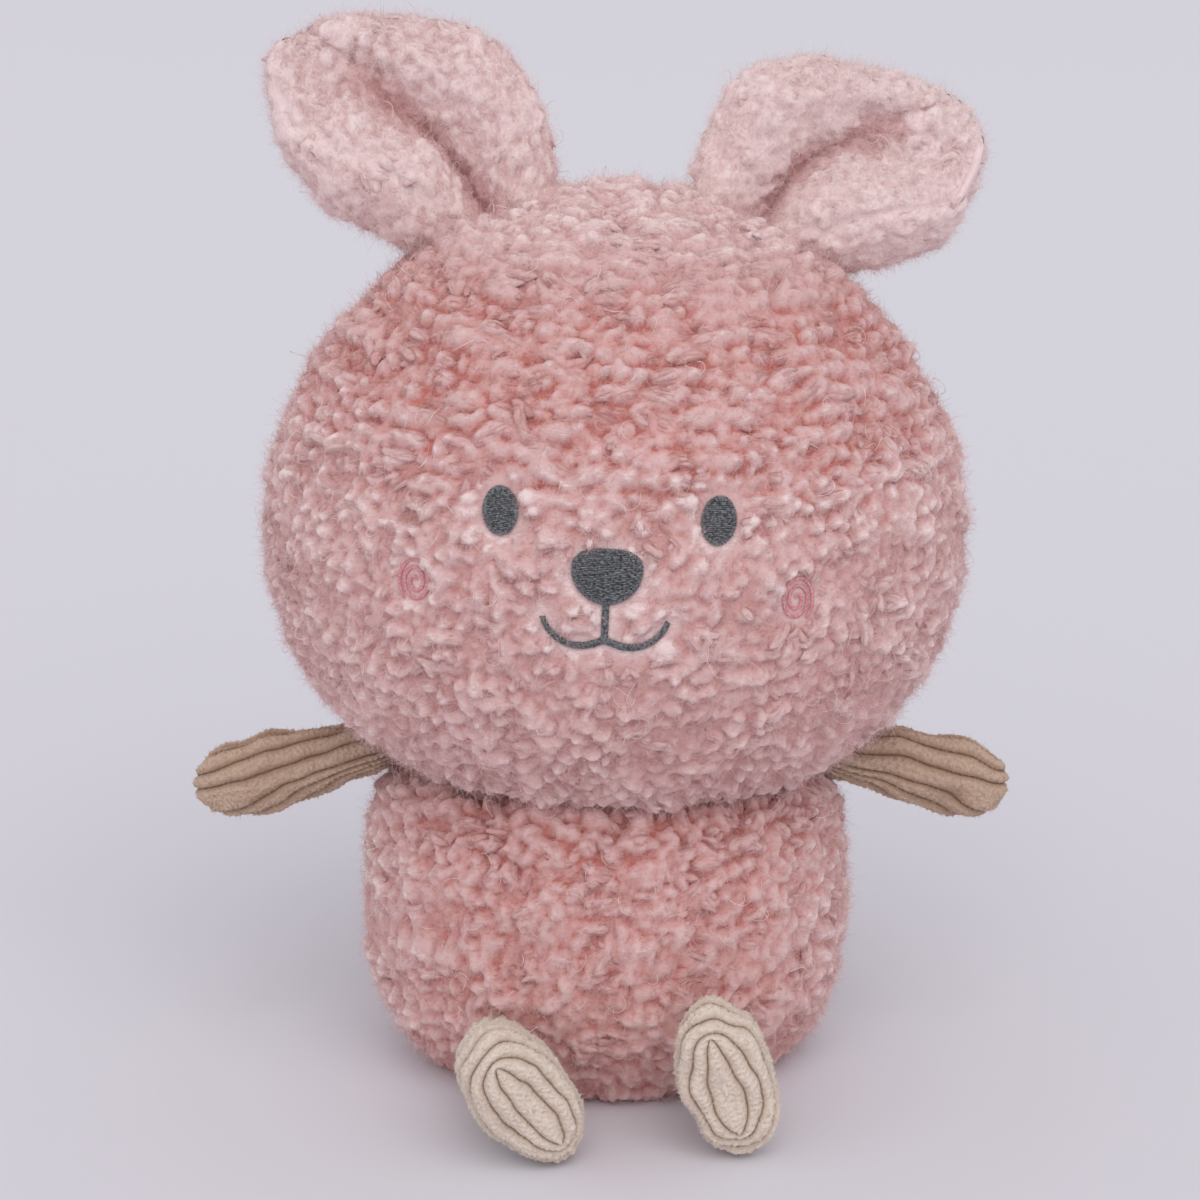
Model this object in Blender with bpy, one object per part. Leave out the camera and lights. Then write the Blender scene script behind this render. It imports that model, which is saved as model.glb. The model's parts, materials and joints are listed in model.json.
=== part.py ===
"""Sitting plush rabbit with a curly pile head and body and corduroy arms and legs.

Units are metres, +Z is up, the face looks along -Y, and left means -X.
The origin is the middle of the flat base, on the surface that the rabbit sits on.
Each cloth panel, stuffing, thread and embroidery is its own closed solid.
"""

import math

import bmesh
import bpy
from mathutils import Matrix, Vector

MM = 0.001

# Driving dimensions, in millimetres. Pile skins are drawn at their half-compressed height.
GAP = 0.3  # between pieces that touch
PILE_SKIN = 4.0  # backing cloth and compressed pile
CORD_SKIN = 1.6  # wide-wale corduroy
SLACK = 1.2  # between a pile skin and the stuffing inside it, where their facets differ
NECK_Z = 80.0  # height of the neck, which all three neck joints pass through
NECK_BALL_R = 18.0
HEAD_ROLL = 2.5  # degrees; the head rests a little over to its +X side

HEAD = dict(centre=(-1.0, -3.0, 142.0), half=(84.0, 68.0), up=79.0, down=71.0, power_up=1.08,
            power_down=0.90, taper=0.03)
HEAD_FLAT_Z = 84.0  # the underside is pressed flat above the neck
HEAD_FLAT_R = 30.0
HEAD_FLAT_SLOPE = 0.35

TORSO = dict(centre=(0.0, 0.0, 40.0), half=(57.5, 49.0), up=46.0, down=49.0, power_up=0.80,
             power_down=0.80, taper=0.0)
TORSO_TOP_Z = 76.0
BASE_THICKNESS = 3.0
POUCH_TOP_Z = 20.0
OPENING = 0.42  # share of the skin's width left open at the neck

FACE_X = -3.1
EYE = dict(dx=24.75, z=155.2, half=(4.3, 5.9))
CHEEK = dict(dx=43.8, z=136.5, half=(4.3, 5.3))
NOSE = dict(half_width=8.2, top=148.5, widest=143.3, bottom=135.0)
MOUTH = dict(half_width=13.9, corner_z=132.4, low_z=126.2, middle_z=127.8, stroke=1.6)
EMBROIDERY_T = 1.0

EAR_LENGTH = 53.0
EAR_REACH = dict(inner=24.0, outer=28.0)  # along the cloth, each way from the fold
EAR_FOLD_R = 10.0
EAR_FOLD = (84.0, 50.0)  # degrees that the outer half is turned forward, at the base and at the tip
EAR_LAYER = 5.0
EAR_BASE_LIFT = 4.5
EARS = dict(left=dict(base=(-38.0, 4.0), lean=-32.5), right=dict(base=(34.0, 4.0), lean=37.5))

ARM = dict(length=45.5, root=7.0, half=(12.0, 7.5))
ARM_PIVOT = (59.5, 0.0, 77.0)
TIP_START = 0.62  # share of a limb's length where its rounded tip begins
ARM_DROOP = 9.5  # degrees below level

LEG = dict(root=8.0, half=(18.4, 11.2))
LEGS = dict(left=dict(pivot=(-32.5, -46.5, 17.5), tip=(-20.5, -76.0, 19.4), tilt=-29.0),
            right=dict(pivot=(30.0, -48.5, 19.5), tip=(27.5, -71.0, 20.6), tilt=-18.0))

TAIL = dict(centre=(0.0, 60.0, 26.0), radius=12.5)


def clear_scene():
    for old in list(bpy.data.objects):
        bpy.data.objects.remove(old, do_unlink=True)


def material(name, colour, roughness):
    made = bpy.data.materials.new(name)
    made.use_nodes = True
    shader = made.node_tree.nodes["Principled BSDF"]
    shader.inputs["Base Color"].default_value = (*colour, 1.0)
    shader.inputs["Roughness"].default_value = roughness
    shader.inputs["Metallic"].default_value = 0.0
    return made


def add_object(name, bm, look, parent=None, shift=(0.0, 0.0, 0.0)):
    """Finish a bmesh drawn in millimetres as one named, smooth, outward-facing object."""
    bmesh.ops.remove_doubles(bm, verts=bm.verts, dist=1e-4)
    bmesh.ops.dissolve_degenerate(bm, edges=bm.edges, dist=1e-4)
    bmesh.ops.recalc_face_normals(bm, faces=bm.faces)
    bmesh.ops.scale(bm, verts=bm.verts, vec=(MM, MM, MM))
    mesh = bpy.data.meshes.new(name)
    bm.to_mesh(mesh)
    bm.free()
    mesh.shade_smooth()
    mesh.set_sharp_from_angle(angle=math.radians(50.0))
    mesh.materials.append(look)
    made = bpy.data.objects.new(name, mesh)
    bpy.context.scene.collection.objects.link(made)
    made.location = Vector(shift) * MM
    made.parent = parent
    return made


def add_empty(name, place, rotation=None, parent=None):
    """A joint or placing frame; place is in millimetres in the parent's frame."""
    empty = bpy.data.objects.new(name, None)
    bpy.context.scene.collection.objects.link(empty)
    empty.parent = parent
    turn = rotation.to_4x4() if rotation else Matrix.Identity(4)
    empty.matrix_local = Matrix.Translation(Vector(place) * MM) @ turn
    return empty


def steps(start, end, count):
    """count + 1 evenly spaced values from start to end."""
    return [start + (end - start) * i / count for i in range(count + 1)]


def closed_between(outer, inner):
    """The solid between two grids of points, walled along all four edges."""
    bm = bmesh.new()
    out = [[bm.verts.new(p) for p in row] for row in outer]
    inn = [[bm.verts.new(p) for p in row] for row in inner]
    rows, cols = len(out), len(out[0])
    for i in range(rows - 1):
        for j in range(cols - 1):
            for grid in (out, inn):
                bm.faces.new((grid[i][j], grid[i][j + 1], grid[i + 1][j + 1], grid[i + 1][j]))
    rim = [(i, 0) for i in range(rows)]
    rim += [(rows - 1, j) for j in range(1, cols)]
    rim += [(i, cols - 1) for i in range(rows - 2, -1, -1)]
    rim += [(0, j) for j in range(cols - 2, 0, -1)]
    for (i, j), (k, m) in zip(rim, rim[1:] + rim[:1]):
        bm.faces.new((out[i][j], out[k][m], inn[k][m], inn[i][j]))
    return bm


def closed_round(rings):
    """The solid inside a stack of rings, each capped at its end unless it is a point."""
    bm = bmesh.new()
    loops = [[bm.verts.new(p) for p in ring] for ring in rings]
    count = len(loops[0])
    for low, high in zip(loops, loops[1:]):
        for j in range(count):
            k = (j + 1) % count
            bm.faces.new((low[j], low[k], high[k], high[j]))
    for loop in (loops[0], loops[-1]):
        spread = max((v.co - loop[0].co).length for v in loop)
        if spread > 1e-3:
            bm.faces.new(loop)
    return bm


# ---- the two pile forms: head and torso

def form_point(form, lon, lat, inset):
    """A point on an egg-like form, in degrees; inset draws it in from the outer skin."""
    rise = math.sin(math.radians(lat))
    power = form["power_up"] if rise > 0 else form["power_down"]
    height = math.copysign(abs(rise) ** power, rise)
    ring = max(0.0, math.cos(math.radians(lat))) ** power * (1.0 - form["taper"] * height)
    reach = form["up"] - inset if rise > 0 else form["down"]
    cx, cy, cz = form["centre"]
    x = (form["half"][0] - inset) * ring * math.cos(math.radians(lon))
    y = (form["half"][1] - inset) * ring * math.sin(math.radians(lon))
    return Vector((cx + x, cy + y, cz + reach * height))


def head_point(lon, lat, inset):
    """The head's form with its underside pressed into a flat disc and a shallow cone."""
    p = form_point(HEAD, lon, lat, inset)
    radius = math.hypot(p.x, p.y)
    pressed = HEAD_FLAT_Z + inset + max(0.0, radius - HEAD_FLAT_R) * HEAD_FLAT_SLOPE
    return Vector((p.x, p.y, max(p.z, pressed)))


def torso_point(lon, lat, inset):
    """The torso's form, cut off flat at the base and pressed flat under the neck."""
    p = form_point(TORSO, lon, lat, inset)
    return Vector((p.x, p.y, min(p.z, TORSO_TOP_Z - inset)))


def latitude_of_ring(form, share, upper):
    """The latitude where a form has shrunk to a share of its width."""
    power = form["power_up"] if upper else form["power_down"]
    angle = math.degrees(math.acos(share ** (1.0 / power)))
    return angle if upper else -angle


def torso_base_latitude():
    share = (TORSO["centre"][2] / TORSO["down"]) ** (1.0 / TORSO["power_down"])
    return -math.degrees(math.asin(share))


def skin_panel(name, point, lons, lats, look, parent, shift):
    """One curved cloth panel with the skin's thickness."""
    outer = [[point(lon, lat, 0.0) for lon in lons] for lat in lats]
    inner = [[point(lon, lat, PILE_SKIN) for lon in lons] for lat in lats]
    return add_object(name, closed_between(outer, inner), look, parent, shift)


def neck_cup(p, side):
    """Keep a stuffing's point clear of the neck's ball, above it or below it."""
    radius = math.hypot(p.x, p.y)
    clear = NECK_BALL_R + SLACK
    if radius >= clear:
        return p
    wall = NECK_Z + side * math.sqrt(clear ** 2 - radius ** 2)
    return Vector((p.x, p.y, max(p.z, wall) if side > 0 else min(p.z, wall)))


def full_rings(point, lats, inset, segments):
    lons = steps(0.0, 360.0, segments)[:-1]
    return [[point(lon, lat, inset) for lon in lons] for lat in lats]


def build_head(looks, frame):
    low = latitude_of_ring(HEAD, OPENING, upper=False)
    lats = steps(low, 90.0, 13)
    half = GAP / 2.0
    skin_panel("head_front_panel", head_point, steps(180.0, 360.0, 12), lats, looks["pile"], frame,
               (0.0, -half, 0.0))
    skin_panel("head_back_left_panel", head_point, steps(90.0, 180.0, 6), lats, looks["pile"], frame,
               (-half, half, 0.0))
    skin_panel("head_back_right_panel", head_point, steps(0.0, 90.0, 6), lats, looks["pile"], frame,
               (half, half, 0.0))
    inside = steps(-90.0, low, 7)[:-1] + lats
    rings = full_rings(head_point, inside, PILE_SKIN + SLACK, 24)
    rings = [[neck_cup(p, side=1) for p in ring] for ring in rings]
    add_object("head_stuffing", closed_round(rings), looks["stuffing"], frame)


def build_torso(looks):
    base = torso_base_latitude()
    top = latitude_of_ring(TORSO, OPENING, upper=True)
    lats = steps(base, top, 9)
    half = GAP / 2.0
    skin_panel("torso_front_panel", torso_point, steps(180.0, 360.0, 12), lats, looks["pile"], None,
               (0.0, -half, 0.0))
    skin_panel("torso_back_panel", torso_point, steps(0.0, 180.0, 12), lats, looks["pile"], None,
               (0.0, half, 0.0))

    inset = PILE_SKIN + SLACK
    rim = full_rings(torso_point, [base], inset, 24)[0]
    disc = [[Vector((p.x, p.y, z)) for p in rim] for z in (0.0, BASE_THICKNESS)]
    add_object("torso_base_panel", closed_round(disc), looks["base"])

    inside = full_rings(torso_point, lats + steps(top, 90.0, 7)[1:], inset, 24)
    pouch_low = BASE_THICKNESS + GAP
    low_rings = [ring for ring in inside if ring[0].z < POUCH_TOP_Z]
    pouch = [[Vector((p.x, p.y, max(p.z, pouch_low))) for p in ring] for ring in low_rings]
    add_object("bean_pouch", closed_round(pouch), looks["pouch"])
    pouch_top = max(p.z for p in pouch[-1])
    filling = [ring for ring in inside if ring[0].z > pouch_top + GAP]
    floor = [Vector((p.x, p.y, pouch_top + GAP)) for p in pouch[-1]]
    filling = [floor] + [[neck_cup(p, side=-1) for p in ring] for ring in filling]
    add_object("torso_stuffing", closed_round(filling), looks["stuffing"])


# ---- the neck

def build_neck(looks):
    ball = bmesh.new()
    bmesh.ops.create_uvsphere(ball, u_segments=16, v_segments=10, radius=NECK_BALL_R)
    pivot = add_empty("neck_pivot", (0.0, 0.0, NECK_Z))
    add_object("neck_stuffing", ball, looks["stuffing"], pivot)

    thread_r = 0.6
    ring_r = 26.0
    ring_z = TORSO_TOP_Z + GAP + thread_r - NECK_Z
    sides = [math.radians(60.0 * i) for i in range(6)]
    ring = bmesh.new()
    loops = []
    for turn in steps(0.0, math.tau, 24)[:-1]:
        spots = [(ring_r + thread_r * math.cos(s), ring_z + thread_r * math.sin(s)) for s in sides]
        loops.append([ring.verts.new((r * math.cos(turn), r * math.sin(turn), z)) for r, z in spots])
    for loop, following in zip(loops, loops[1:] + loops[:1]):
        for i in range(len(sides)):
            k = (i + 1) % len(sides)
            ring.faces.new((loop[i], loop[k], following[k], following[i]))
    add_object("neck_seam_thread", ring, looks["thread"], pivot)


# ---- embroidery on the face panel

def face_y(x, z):
    """How far forward the face panel's outer side is at a place on the face."""
    cx, cy, cz = HEAD["centre"]
    reach = HEAD["up"] if z > cz else HEAD["down"]
    power = HEAD["power_up"] if z > cz else HEAD["power_down"]
    height = (z - cz) / reach
    ring = math.sqrt(1.0 - abs(height) ** (2.0 / power)) ** power * (1.0 - HEAD["taper"] * height)
    across = (x - cx) / (HEAD["half"][0] * ring)
    return cy - HEAD["half"][1] * ring * math.sqrt(1.0 - across ** 2)


def stitched_patch(name, grid, look, frame):
    """A thin embroidered patch lying on the face, from a grid of (x, z) places."""
    near = 2 * GAP
    inner = [[Vector((x, face_y(x, z) - near, z)) for x, z in row] for row in grid]
    outer = [[p - Vector((0.0, EMBROIDERY_T, 0.0)) for p in row] for row in inner]
    return add_object(name, closed_between(outer, inner), look, frame)


def oval_grid(cx, cz, half):
    """Rows of places across an oval, from its low end to its high end."""
    rows = []
    for turn in steps(-80.0, 80.0, 6):
        width = half[0] * math.cos(math.radians(turn))
        z = cz + half[1] * math.sin(math.radians(turn))
        rows.append([(x, z) for x in steps(cx - width, cx + width, 3)])
    return rows


def nose_grid():
    """A rounded triangle, widest near its top."""
    rows = []
    for z in steps(NOSE["bottom"], NOSE["top"], 7):
        if z < NOSE["widest"]:
            share = (NOSE["widest"] - z) / (NOSE["widest"] - NOSE["bottom"])
        else:
            share = 0.93 * (z - NOSE["widest"]) / (NOSE["top"] - NOSE["widest"])
        width = max(0.8, NOSE["half_width"] * math.sqrt(max(0.0, 1.0 - share ** 2)))
        rows.append([(x, z) for x in steps(FACE_X - width, FACE_X + width, 4)])
    return rows


def mouth_solid():
    """The line under the nose and the two arcs of the mouth, as one three-armed stroke."""
    half = MOUTH["stroke"] / 2.0
    top = NOSE["bottom"] - 2 * GAP
    upper, lower = [], []
    for side in (-1, 1):
        for share in steps(1.0, 0.0, 6) if side < 0 else steps(0.0, 1.0, 6)[1:]:
            bow = math.sin(math.pi * min(1.0, share * 1.15))
            level = MOUTH["middle_z"] + (MOUTH["corner_z"] - MOUTH["middle_z"]) * share ** 3
            z = level - (MOUTH["middle_z"] - MOUTH["low_z"]) * bow * 1.6
            x = FACE_X + side * MOUTH["half_width"] * share
            upper.append((x, z + half))
            lower.append((x, z - half))
    middle = len(upper) // 2
    stem = [(FACE_X - half, top), (FACE_X + half, top)]
    outline = lower + upper[:middle:-1] + stem[::-1] + upper[middle - 1::-1]
    bm = bmesh.new()
    near = 2 * GAP
    front = [bm.verts.new((x, face_y(x, z) - near - EMBROIDERY_T, z)) for x, z in outline]
    back = [bm.verts.new((x, face_y(x, z) - near, z)) for x, z in outline]
    count = len(outline)
    for i in range(count):
        k = (i + 1) % count
        bm.faces.new((front[i], front[k], back[k], back[i]))
    bmesh.ops.triangulate(bm, faces=[bm.faces.new(front), bm.faces.new(back)])
    return bm


def build_face(looks, frame):
    for side, sign in (("left", -1), ("right", 1)):
        eye = oval_grid(FACE_X + sign * EYE["dx"], EYE["z"], EYE["half"])
        stitched_patch("eye_" + side + "_embroidery", eye, looks["dark_thread"], frame)
        cheek = oval_grid(FACE_X + sign * CHEEK["dx"], CHEEK["z"], CHEEK["half"])
        stitched_patch("cheek_" + side + "_embroidery", cheek, looks["cheek_thread"], frame)
    stitched_patch("nose_embroidery", nose_grid(), looks["dark_thread"], frame)
    add_object("mouth_embroidery", mouth_solid(), looks["dark_thread"], frame)


# ---- ears: a wide petal folded lengthwise, its outer half turned forward

def ear_middle(across, along, mirror):
    """A point on the ear's middle sheet, in the ear's own frame.

    across runs from -1 at the inner edge to 1 at the outer edge, along from 0 at the base to 1 at
    the tip. Local x points outward along the base seam for mirror 1, and z along the ear.
    """
    tip_round = math.sqrt(max(0.0, 1.0 - max(0.0, (along - 0.40) / 0.60) ** 2.2))
    swell = 0.78 + 0.22 * math.sin(math.pi * min(1.0, along * 1.3) / 2)
    reach = EAR_REACH["inner"] if across <= 0 else EAR_REACH["outer"]
    run = abs(across) * reach * swell * tip_round
    fold = math.radians(EAR_FOLD[0] + (EAR_FOLD[1] - EAR_FOLD[0]) * along)
    if across <= 0:
        x, y = -run, -0.010 * run ** 2
    else:
        turned = min(fold, run / EAR_FOLD_R)
        rest = max(0.0, run - fold * EAR_FOLD_R)
        x = EAR_FOLD_R * math.sin(turned) + rest * math.cos(fold)
        y = -EAR_FOLD_R * (1.0 - math.cos(turned)) - rest * math.sin(fold)
    settle = (x * x + y * y) / (2.0 * HEAD["half"][0])
    lift = EAR_BASE_LIFT + 3.0 * max(0.0, across) - settle
    return Vector((mirror * x, y, lift + (EAR_LENGTH - lift) * along))


def ear_layers(mirror, side):
    """The two faces of one of an ear's two panels: side -1 is the front panel, 1 the back."""
    columns = steps(-1.0, 1.0, 10)
    rows = [math.sin(math.radians(a)) for a in steps(0.0, 80.0, 7)]
    small = 0.01
    near_grid, far_grid = [], []
    for along in rows:
        near_row, far_row = [], []
        for across in columns:
            p = ear_middle(across, along, mirror)
            du = ear_middle(across + small, along, mirror) - ear_middle(across - small, along, mirror)
            dv = ear_middle(across, along + small, mirror) - ear_middle(across, along - small, mirror)
            out = du.cross(dv).normalized() * mirror
            out = -out if side > 0 else out
            thin = 1.0 - 0.55 * max(abs(across), along) ** 4
            near_row.append(p + out * GAP / 2.0)
            far_row.append(p + out * (GAP / 2.0 + EAR_LAYER * thin))
        near_grid.append(near_row)
        far_grid.append(far_row)
    return far_grid, near_grid


def head_top_z(x, y):
    """The height of the head's outer skin above a place on its upper half."""
    cx, cy, cz = HEAD["centre"]
    ring = math.hypot((x - cx) / HEAD["half"][0], (y - cy) / HEAD["half"][1])
    power = HEAD["power_up"]
    return cz + HEAD["up"] * math.sqrt(1.0 - ring ** (2.0 / power)) ** power


def build_ears(looks, head_frame):
    for side, sign in (("left", -1), ("right", 1)):
        ear = EARS[side]
        turn = Matrix.Rotation(math.radians(ear["lean"]), 3, "Y")
        x, y = ear["base"]
        frame = add_empty("ear_" + side + "_root", (x, y, head_top_z(x, y)), turn, head_frame)
        for layer, facing in (("front", -1), ("back", 1)):
            far, near = ear_layers(sign, facing)
            name = "ear_" + side + "_" + layer + "_panel"
            add_object(name, closed_between(far, near), looks["pile"], frame)


# ---- limbs: flat stuffed tongues made of two corduroy panels

def limb_size(limb, length, z, inset):
    """Half width and half thickness of a limb at a height along it; its root's centre is at 0."""
    root = limb["root"]
    swell = min(1.0, max(0.0, z) / (0.6 * length))
    swell = swell * swell * (3.0 - 2.0 * swell)
    tip_start = TIP_START * length
    tip = 1.0
    if z > tip_start:
        tip = math.sqrt(max(0.0, 1.0 - ((z - tip_start) / (length - inset - tip_start)) ** 2))
    heel = math.sqrt(max(0.0, 1.0 - (min(0.0, z) / root) ** 2))
    width = root + (limb["half"][0] - root) * swell
    thick = min(root, limb["half"][1]) + (limb["half"][1] - min(root, limb["half"][1])) * swell
    return (width - inset) * tip * heel, (thick - inset) * tip * heel


def limb_rings(limb, length, inset, lons, z_values):
    rings = []
    for z in z_values:
        width, thick = limb_size(limb, length, z, inset)
        ring = [(width * math.cos(math.radians(a)), thick * math.sin(math.radians(a)), z) for a in lons]
        rings.append([Vector(p) for p in ring])
    return rings


def limb_heights(limb, length, inset, start, count):
    """Heights from a start near the root to the tip, closer together near the tip."""
    end = length - inset
    crown_start = TIP_START * length
    crown = [crown_start + (end - crown_start) * math.sin(math.radians(a)) for a in (30.0, 55.0, 75.0, 90.0)]
    return steps(start, crown_start, count) + crown


def build_limb(name, limb, length, frame, cord, stuffing, panels):
    """Two skins around one stuffing; the root end of the cover stays open."""
    start = -0.75 * limb["root"]
    for label, first, push in ((panels[0], 180.0, -1.0), (panels[1], 0.0, 1.0)):
        lons = steps(first, first + 180.0, 8)
        outer = limb_rings(limb, length, 0.0, lons, limb_heights(limb, length, 0.0, start, 6))
        inner = limb_rings(limb, length, CORD_SKIN, lons, limb_heights(limb, length, CORD_SKIN, start, 6))
        cover = closed_between(outer, inner)
        add_object(name + "_" + label + "_panel", cover, cord, frame, (0.0, push * GAP / 2.0, 0.0))
    inset = CORD_SKIN + 2 * GAP
    lons = steps(0.0, 360.0, 12)[:-1]
    rings = limb_rings(limb, length, inset, lons, limb_heights(limb, length, inset, start + GAP, 5))
    add_object(name + "_stuffing", closed_round(rings), stuffing, frame)


def build_arms(looks):
    for side, sign in (("left", -1), ("right", 1)):
        place = (sign * ARM_PIVOT[0], ARM_PIVOT[1], ARM_PIVOT[2])
        droop = Matrix.Rotation(sign * math.radians(90.0 + ARM_DROOP), 3, "Y")
        frame = add_empty("shoulder_" + side, place, droop)
        build_limb("arm_" + side, ARM, ARM["length"], frame, looks["arm_cord"], looks["stuffing"],
                   ("front", "back"))


def build_legs(looks):
    for side, leg in LEGS.items():
        axis = Vector(leg["tip"]) - Vector(leg["pivot"])
        tilt = math.radians(leg["tilt"])
        wide = Vector((math.sin(tilt), 0.0, math.cos(tilt)))
        forward = axis.normalized()
        thin = forward.cross(wide).normalized()
        wide = thin.cross(forward)
        turn = Matrix((wide, thin, forward)).transposed()
        frame = add_empty("hip_" + side, leg["pivot"], turn)
        build_limb("leg_" + side, LEG, axis.length, frame, looks["leg_cord"], looks["stuffing"],
                   ("inner", "outer"))


# ---- tail: a small gathered pompom on the lower back

def build_tail(looks):
    frame = add_empty("tail_root", TAIL["centre"], Matrix.Rotation(math.radians(-90.0), 3, "X"))
    lons = steps(0.0, 360.0, 14)
    lats = steps(-58.0, 90.0, 7)

    def tail_point(lon, lat, inset):
        radius = TAIL["radius"] - inset
        flat = radius * math.cos(math.radians(lat))
        return Vector((flat * math.cos(math.radians(lon)), flat * math.sin(math.radians(lon)),
                       radius * math.sin(math.radians(lat))))

    bm = bmesh.new()
    skins = [full_rings(tail_point, lats, inset, len(lons) - 1) for inset in (0.0, PILE_SKIN)]
    grids = [[[bm.verts.new(p) for p in ring] for ring in skin] for skin in skins]
    count = len(lons) - 1
    for grid in grids:
        for low, high in zip(grid, grid[1:]):
            for j in range(count):
                k = (j + 1) % count
                bm.faces.new((low[j], low[k], high[k], high[j]))
    for j in range(count):
        k = (j + 1) % count
        bm.faces.new((grids[0][0][j], grids[0][0][k], grids[1][0][k], grids[1][0][j]))
    add_object("tail_cover", bm, looks["pile"], frame)
    stuffing = full_rings(tail_point, steps(-50.0, 90.0, 6), PILE_SKIN + 2 * GAP, 12)
    add_object("tail_stuffing", closed_round(stuffing), looks["stuffing"], frame)


def make_looks():
    return dict(
        pile=material("pink_pile", (0.74, 0.46, 0.43), 0.95),
        base=material("pink_base_cloth", (0.66, 0.40, 0.38), 0.90),
        arm_cord=material("tan_corduroy", (0.57, 0.47, 0.37), 0.90),
        leg_cord=material("cream_corduroy", (0.66, 0.57, 0.47), 0.90),
        stuffing=material("white_fibre_stuffing", (0.85, 0.85, 0.83), 0.95),
        pouch=material("pellet_pouch", (0.80, 0.80, 0.78), 0.80),
        thread=material("pink_seam_thread", (0.66, 0.38, 0.36), 0.70),
        dark_thread=material("grey_embroidery_thread", (0.09, 0.095, 0.105), 0.55),
        cheek_thread=material("rose_embroidery_thread", (0.68, 0.16, 0.20), 0.55),
    )


clear_scene()
looks = make_looks()
head_frame = add_empty("head_frame", (0.0, 0.0, NECK_Z), Matrix.Rotation(math.radians(HEAD_ROLL), 3, "Y"))
head_origin = add_empty("head_origin", (0.0, 0.0, -NECK_Z), parent=head_frame)
build_head(looks, head_origin)
build_face(looks, head_origin)
build_ears(looks, head_origin)
build_neck(looks)
build_torso(looks)
build_arms(looks)
build_legs(looks)
build_tail(looks)
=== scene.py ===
"""Looks of the sitting plush rabbit: curly pile, folded ears, embroidered face, corduroy limbs.

Shapes are worked out in millimetres with numpy and turned into meshes in metres. The forms repeat
the CAD's own, the places come from the frame, and every random draw has its own seed.
"""
import json
import math

import bpy
import numpy as np
from mathutils import Matrix, Vector
from mathutils.kdtree import KDTree


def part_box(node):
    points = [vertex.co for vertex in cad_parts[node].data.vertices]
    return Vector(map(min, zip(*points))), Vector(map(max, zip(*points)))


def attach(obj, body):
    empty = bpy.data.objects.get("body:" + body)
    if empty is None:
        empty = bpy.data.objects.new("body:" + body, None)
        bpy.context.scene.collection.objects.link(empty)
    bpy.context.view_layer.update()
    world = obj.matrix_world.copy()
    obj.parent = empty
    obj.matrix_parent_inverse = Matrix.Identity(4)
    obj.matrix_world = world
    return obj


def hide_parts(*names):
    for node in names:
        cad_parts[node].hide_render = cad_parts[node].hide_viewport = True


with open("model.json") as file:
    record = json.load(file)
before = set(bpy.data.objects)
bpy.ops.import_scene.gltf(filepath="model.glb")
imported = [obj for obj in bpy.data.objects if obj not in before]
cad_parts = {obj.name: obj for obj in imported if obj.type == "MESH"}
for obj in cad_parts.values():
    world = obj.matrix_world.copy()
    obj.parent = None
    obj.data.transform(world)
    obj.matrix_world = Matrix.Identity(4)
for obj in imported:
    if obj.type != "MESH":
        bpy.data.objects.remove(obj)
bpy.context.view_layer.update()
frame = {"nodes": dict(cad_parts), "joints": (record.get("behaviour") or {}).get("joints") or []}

MM = 0.001
FLOOR_CLEARANCE = 0.4  # nothing of the rabbit comes nearer to the floor

# The CAD's forms, at its skins' outer sides
HEAD = dict(centre=(-1.0, -3.0, 142.0), half=(84.0, 68.0), up=79.0, down=71.0, power_up=1.08,
            power_down=0.90, taper=0.03)
HEAD_UNDER_Z = 77.2  # the pile under the head rests on the shoulders
HEAD_UNDER_SLOPE = 0.04
TORSO = dict(centre=(-0.5, 0.0, 40.0), half=(58.6, 49.0), up=46.0, down=49.0, power_up=0.60,
             power_down=0.80, taper=0.0)
TORSO_TOP_Z = 75.0
SKIN = 2.4  # thickness of the backing cloth with its dense short pile
NO_TRIS = np.zeros((0, 3), int)
SIDES = (("left", -1.0), ("right", 1.0))  # with the sign of x there


def joint_called(name):
    return next(joint for joint in frame["joints"] if joint["name"] == name)


def joint_place(name):
    return np.array(joint_called(name)["pos_m"]) / MM


# ---- vectors and noise

def unit(v):
    return v / np.maximum(np.linalg.norm(v, axis=-1, keepdims=True), 1e-9)


def smooth(x):
    x = np.clip(x, 0.0, 1.0)
    return x * x * (3.0 - 2.0 * x)


def mix(a, b, share):
    return a + (b - a) * share


def ripple(points, wavelength, seed, waves=7):
    """Smooth noise of about unit size over points in mm, as a sum of plane waves."""
    draw = np.random.default_rng(seed)
    way = unit(draw.normal(size=(waves, 3))) * (math.tau / wavelength)
    way *= draw.uniform(0.65, 1.5, size=(waves, 1))
    phase = draw.uniform(0.0, math.tau, size=waves)
    return np.sin(points @ way.T + phase).sum(-1) * math.sqrt(2.0 / waves)


def around(vector, axis, angle):
    """Rows of vectors turned about rows of unit axes."""
    c, s = np.cos(angle)[..., None], np.sin(angle)[..., None]
    return vector * c + np.cross(axis, vector) * s + axis * (axis * vector).sum(-1, keepdims=True) * (1.0 - c)


# ---- meshes from arrays

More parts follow.
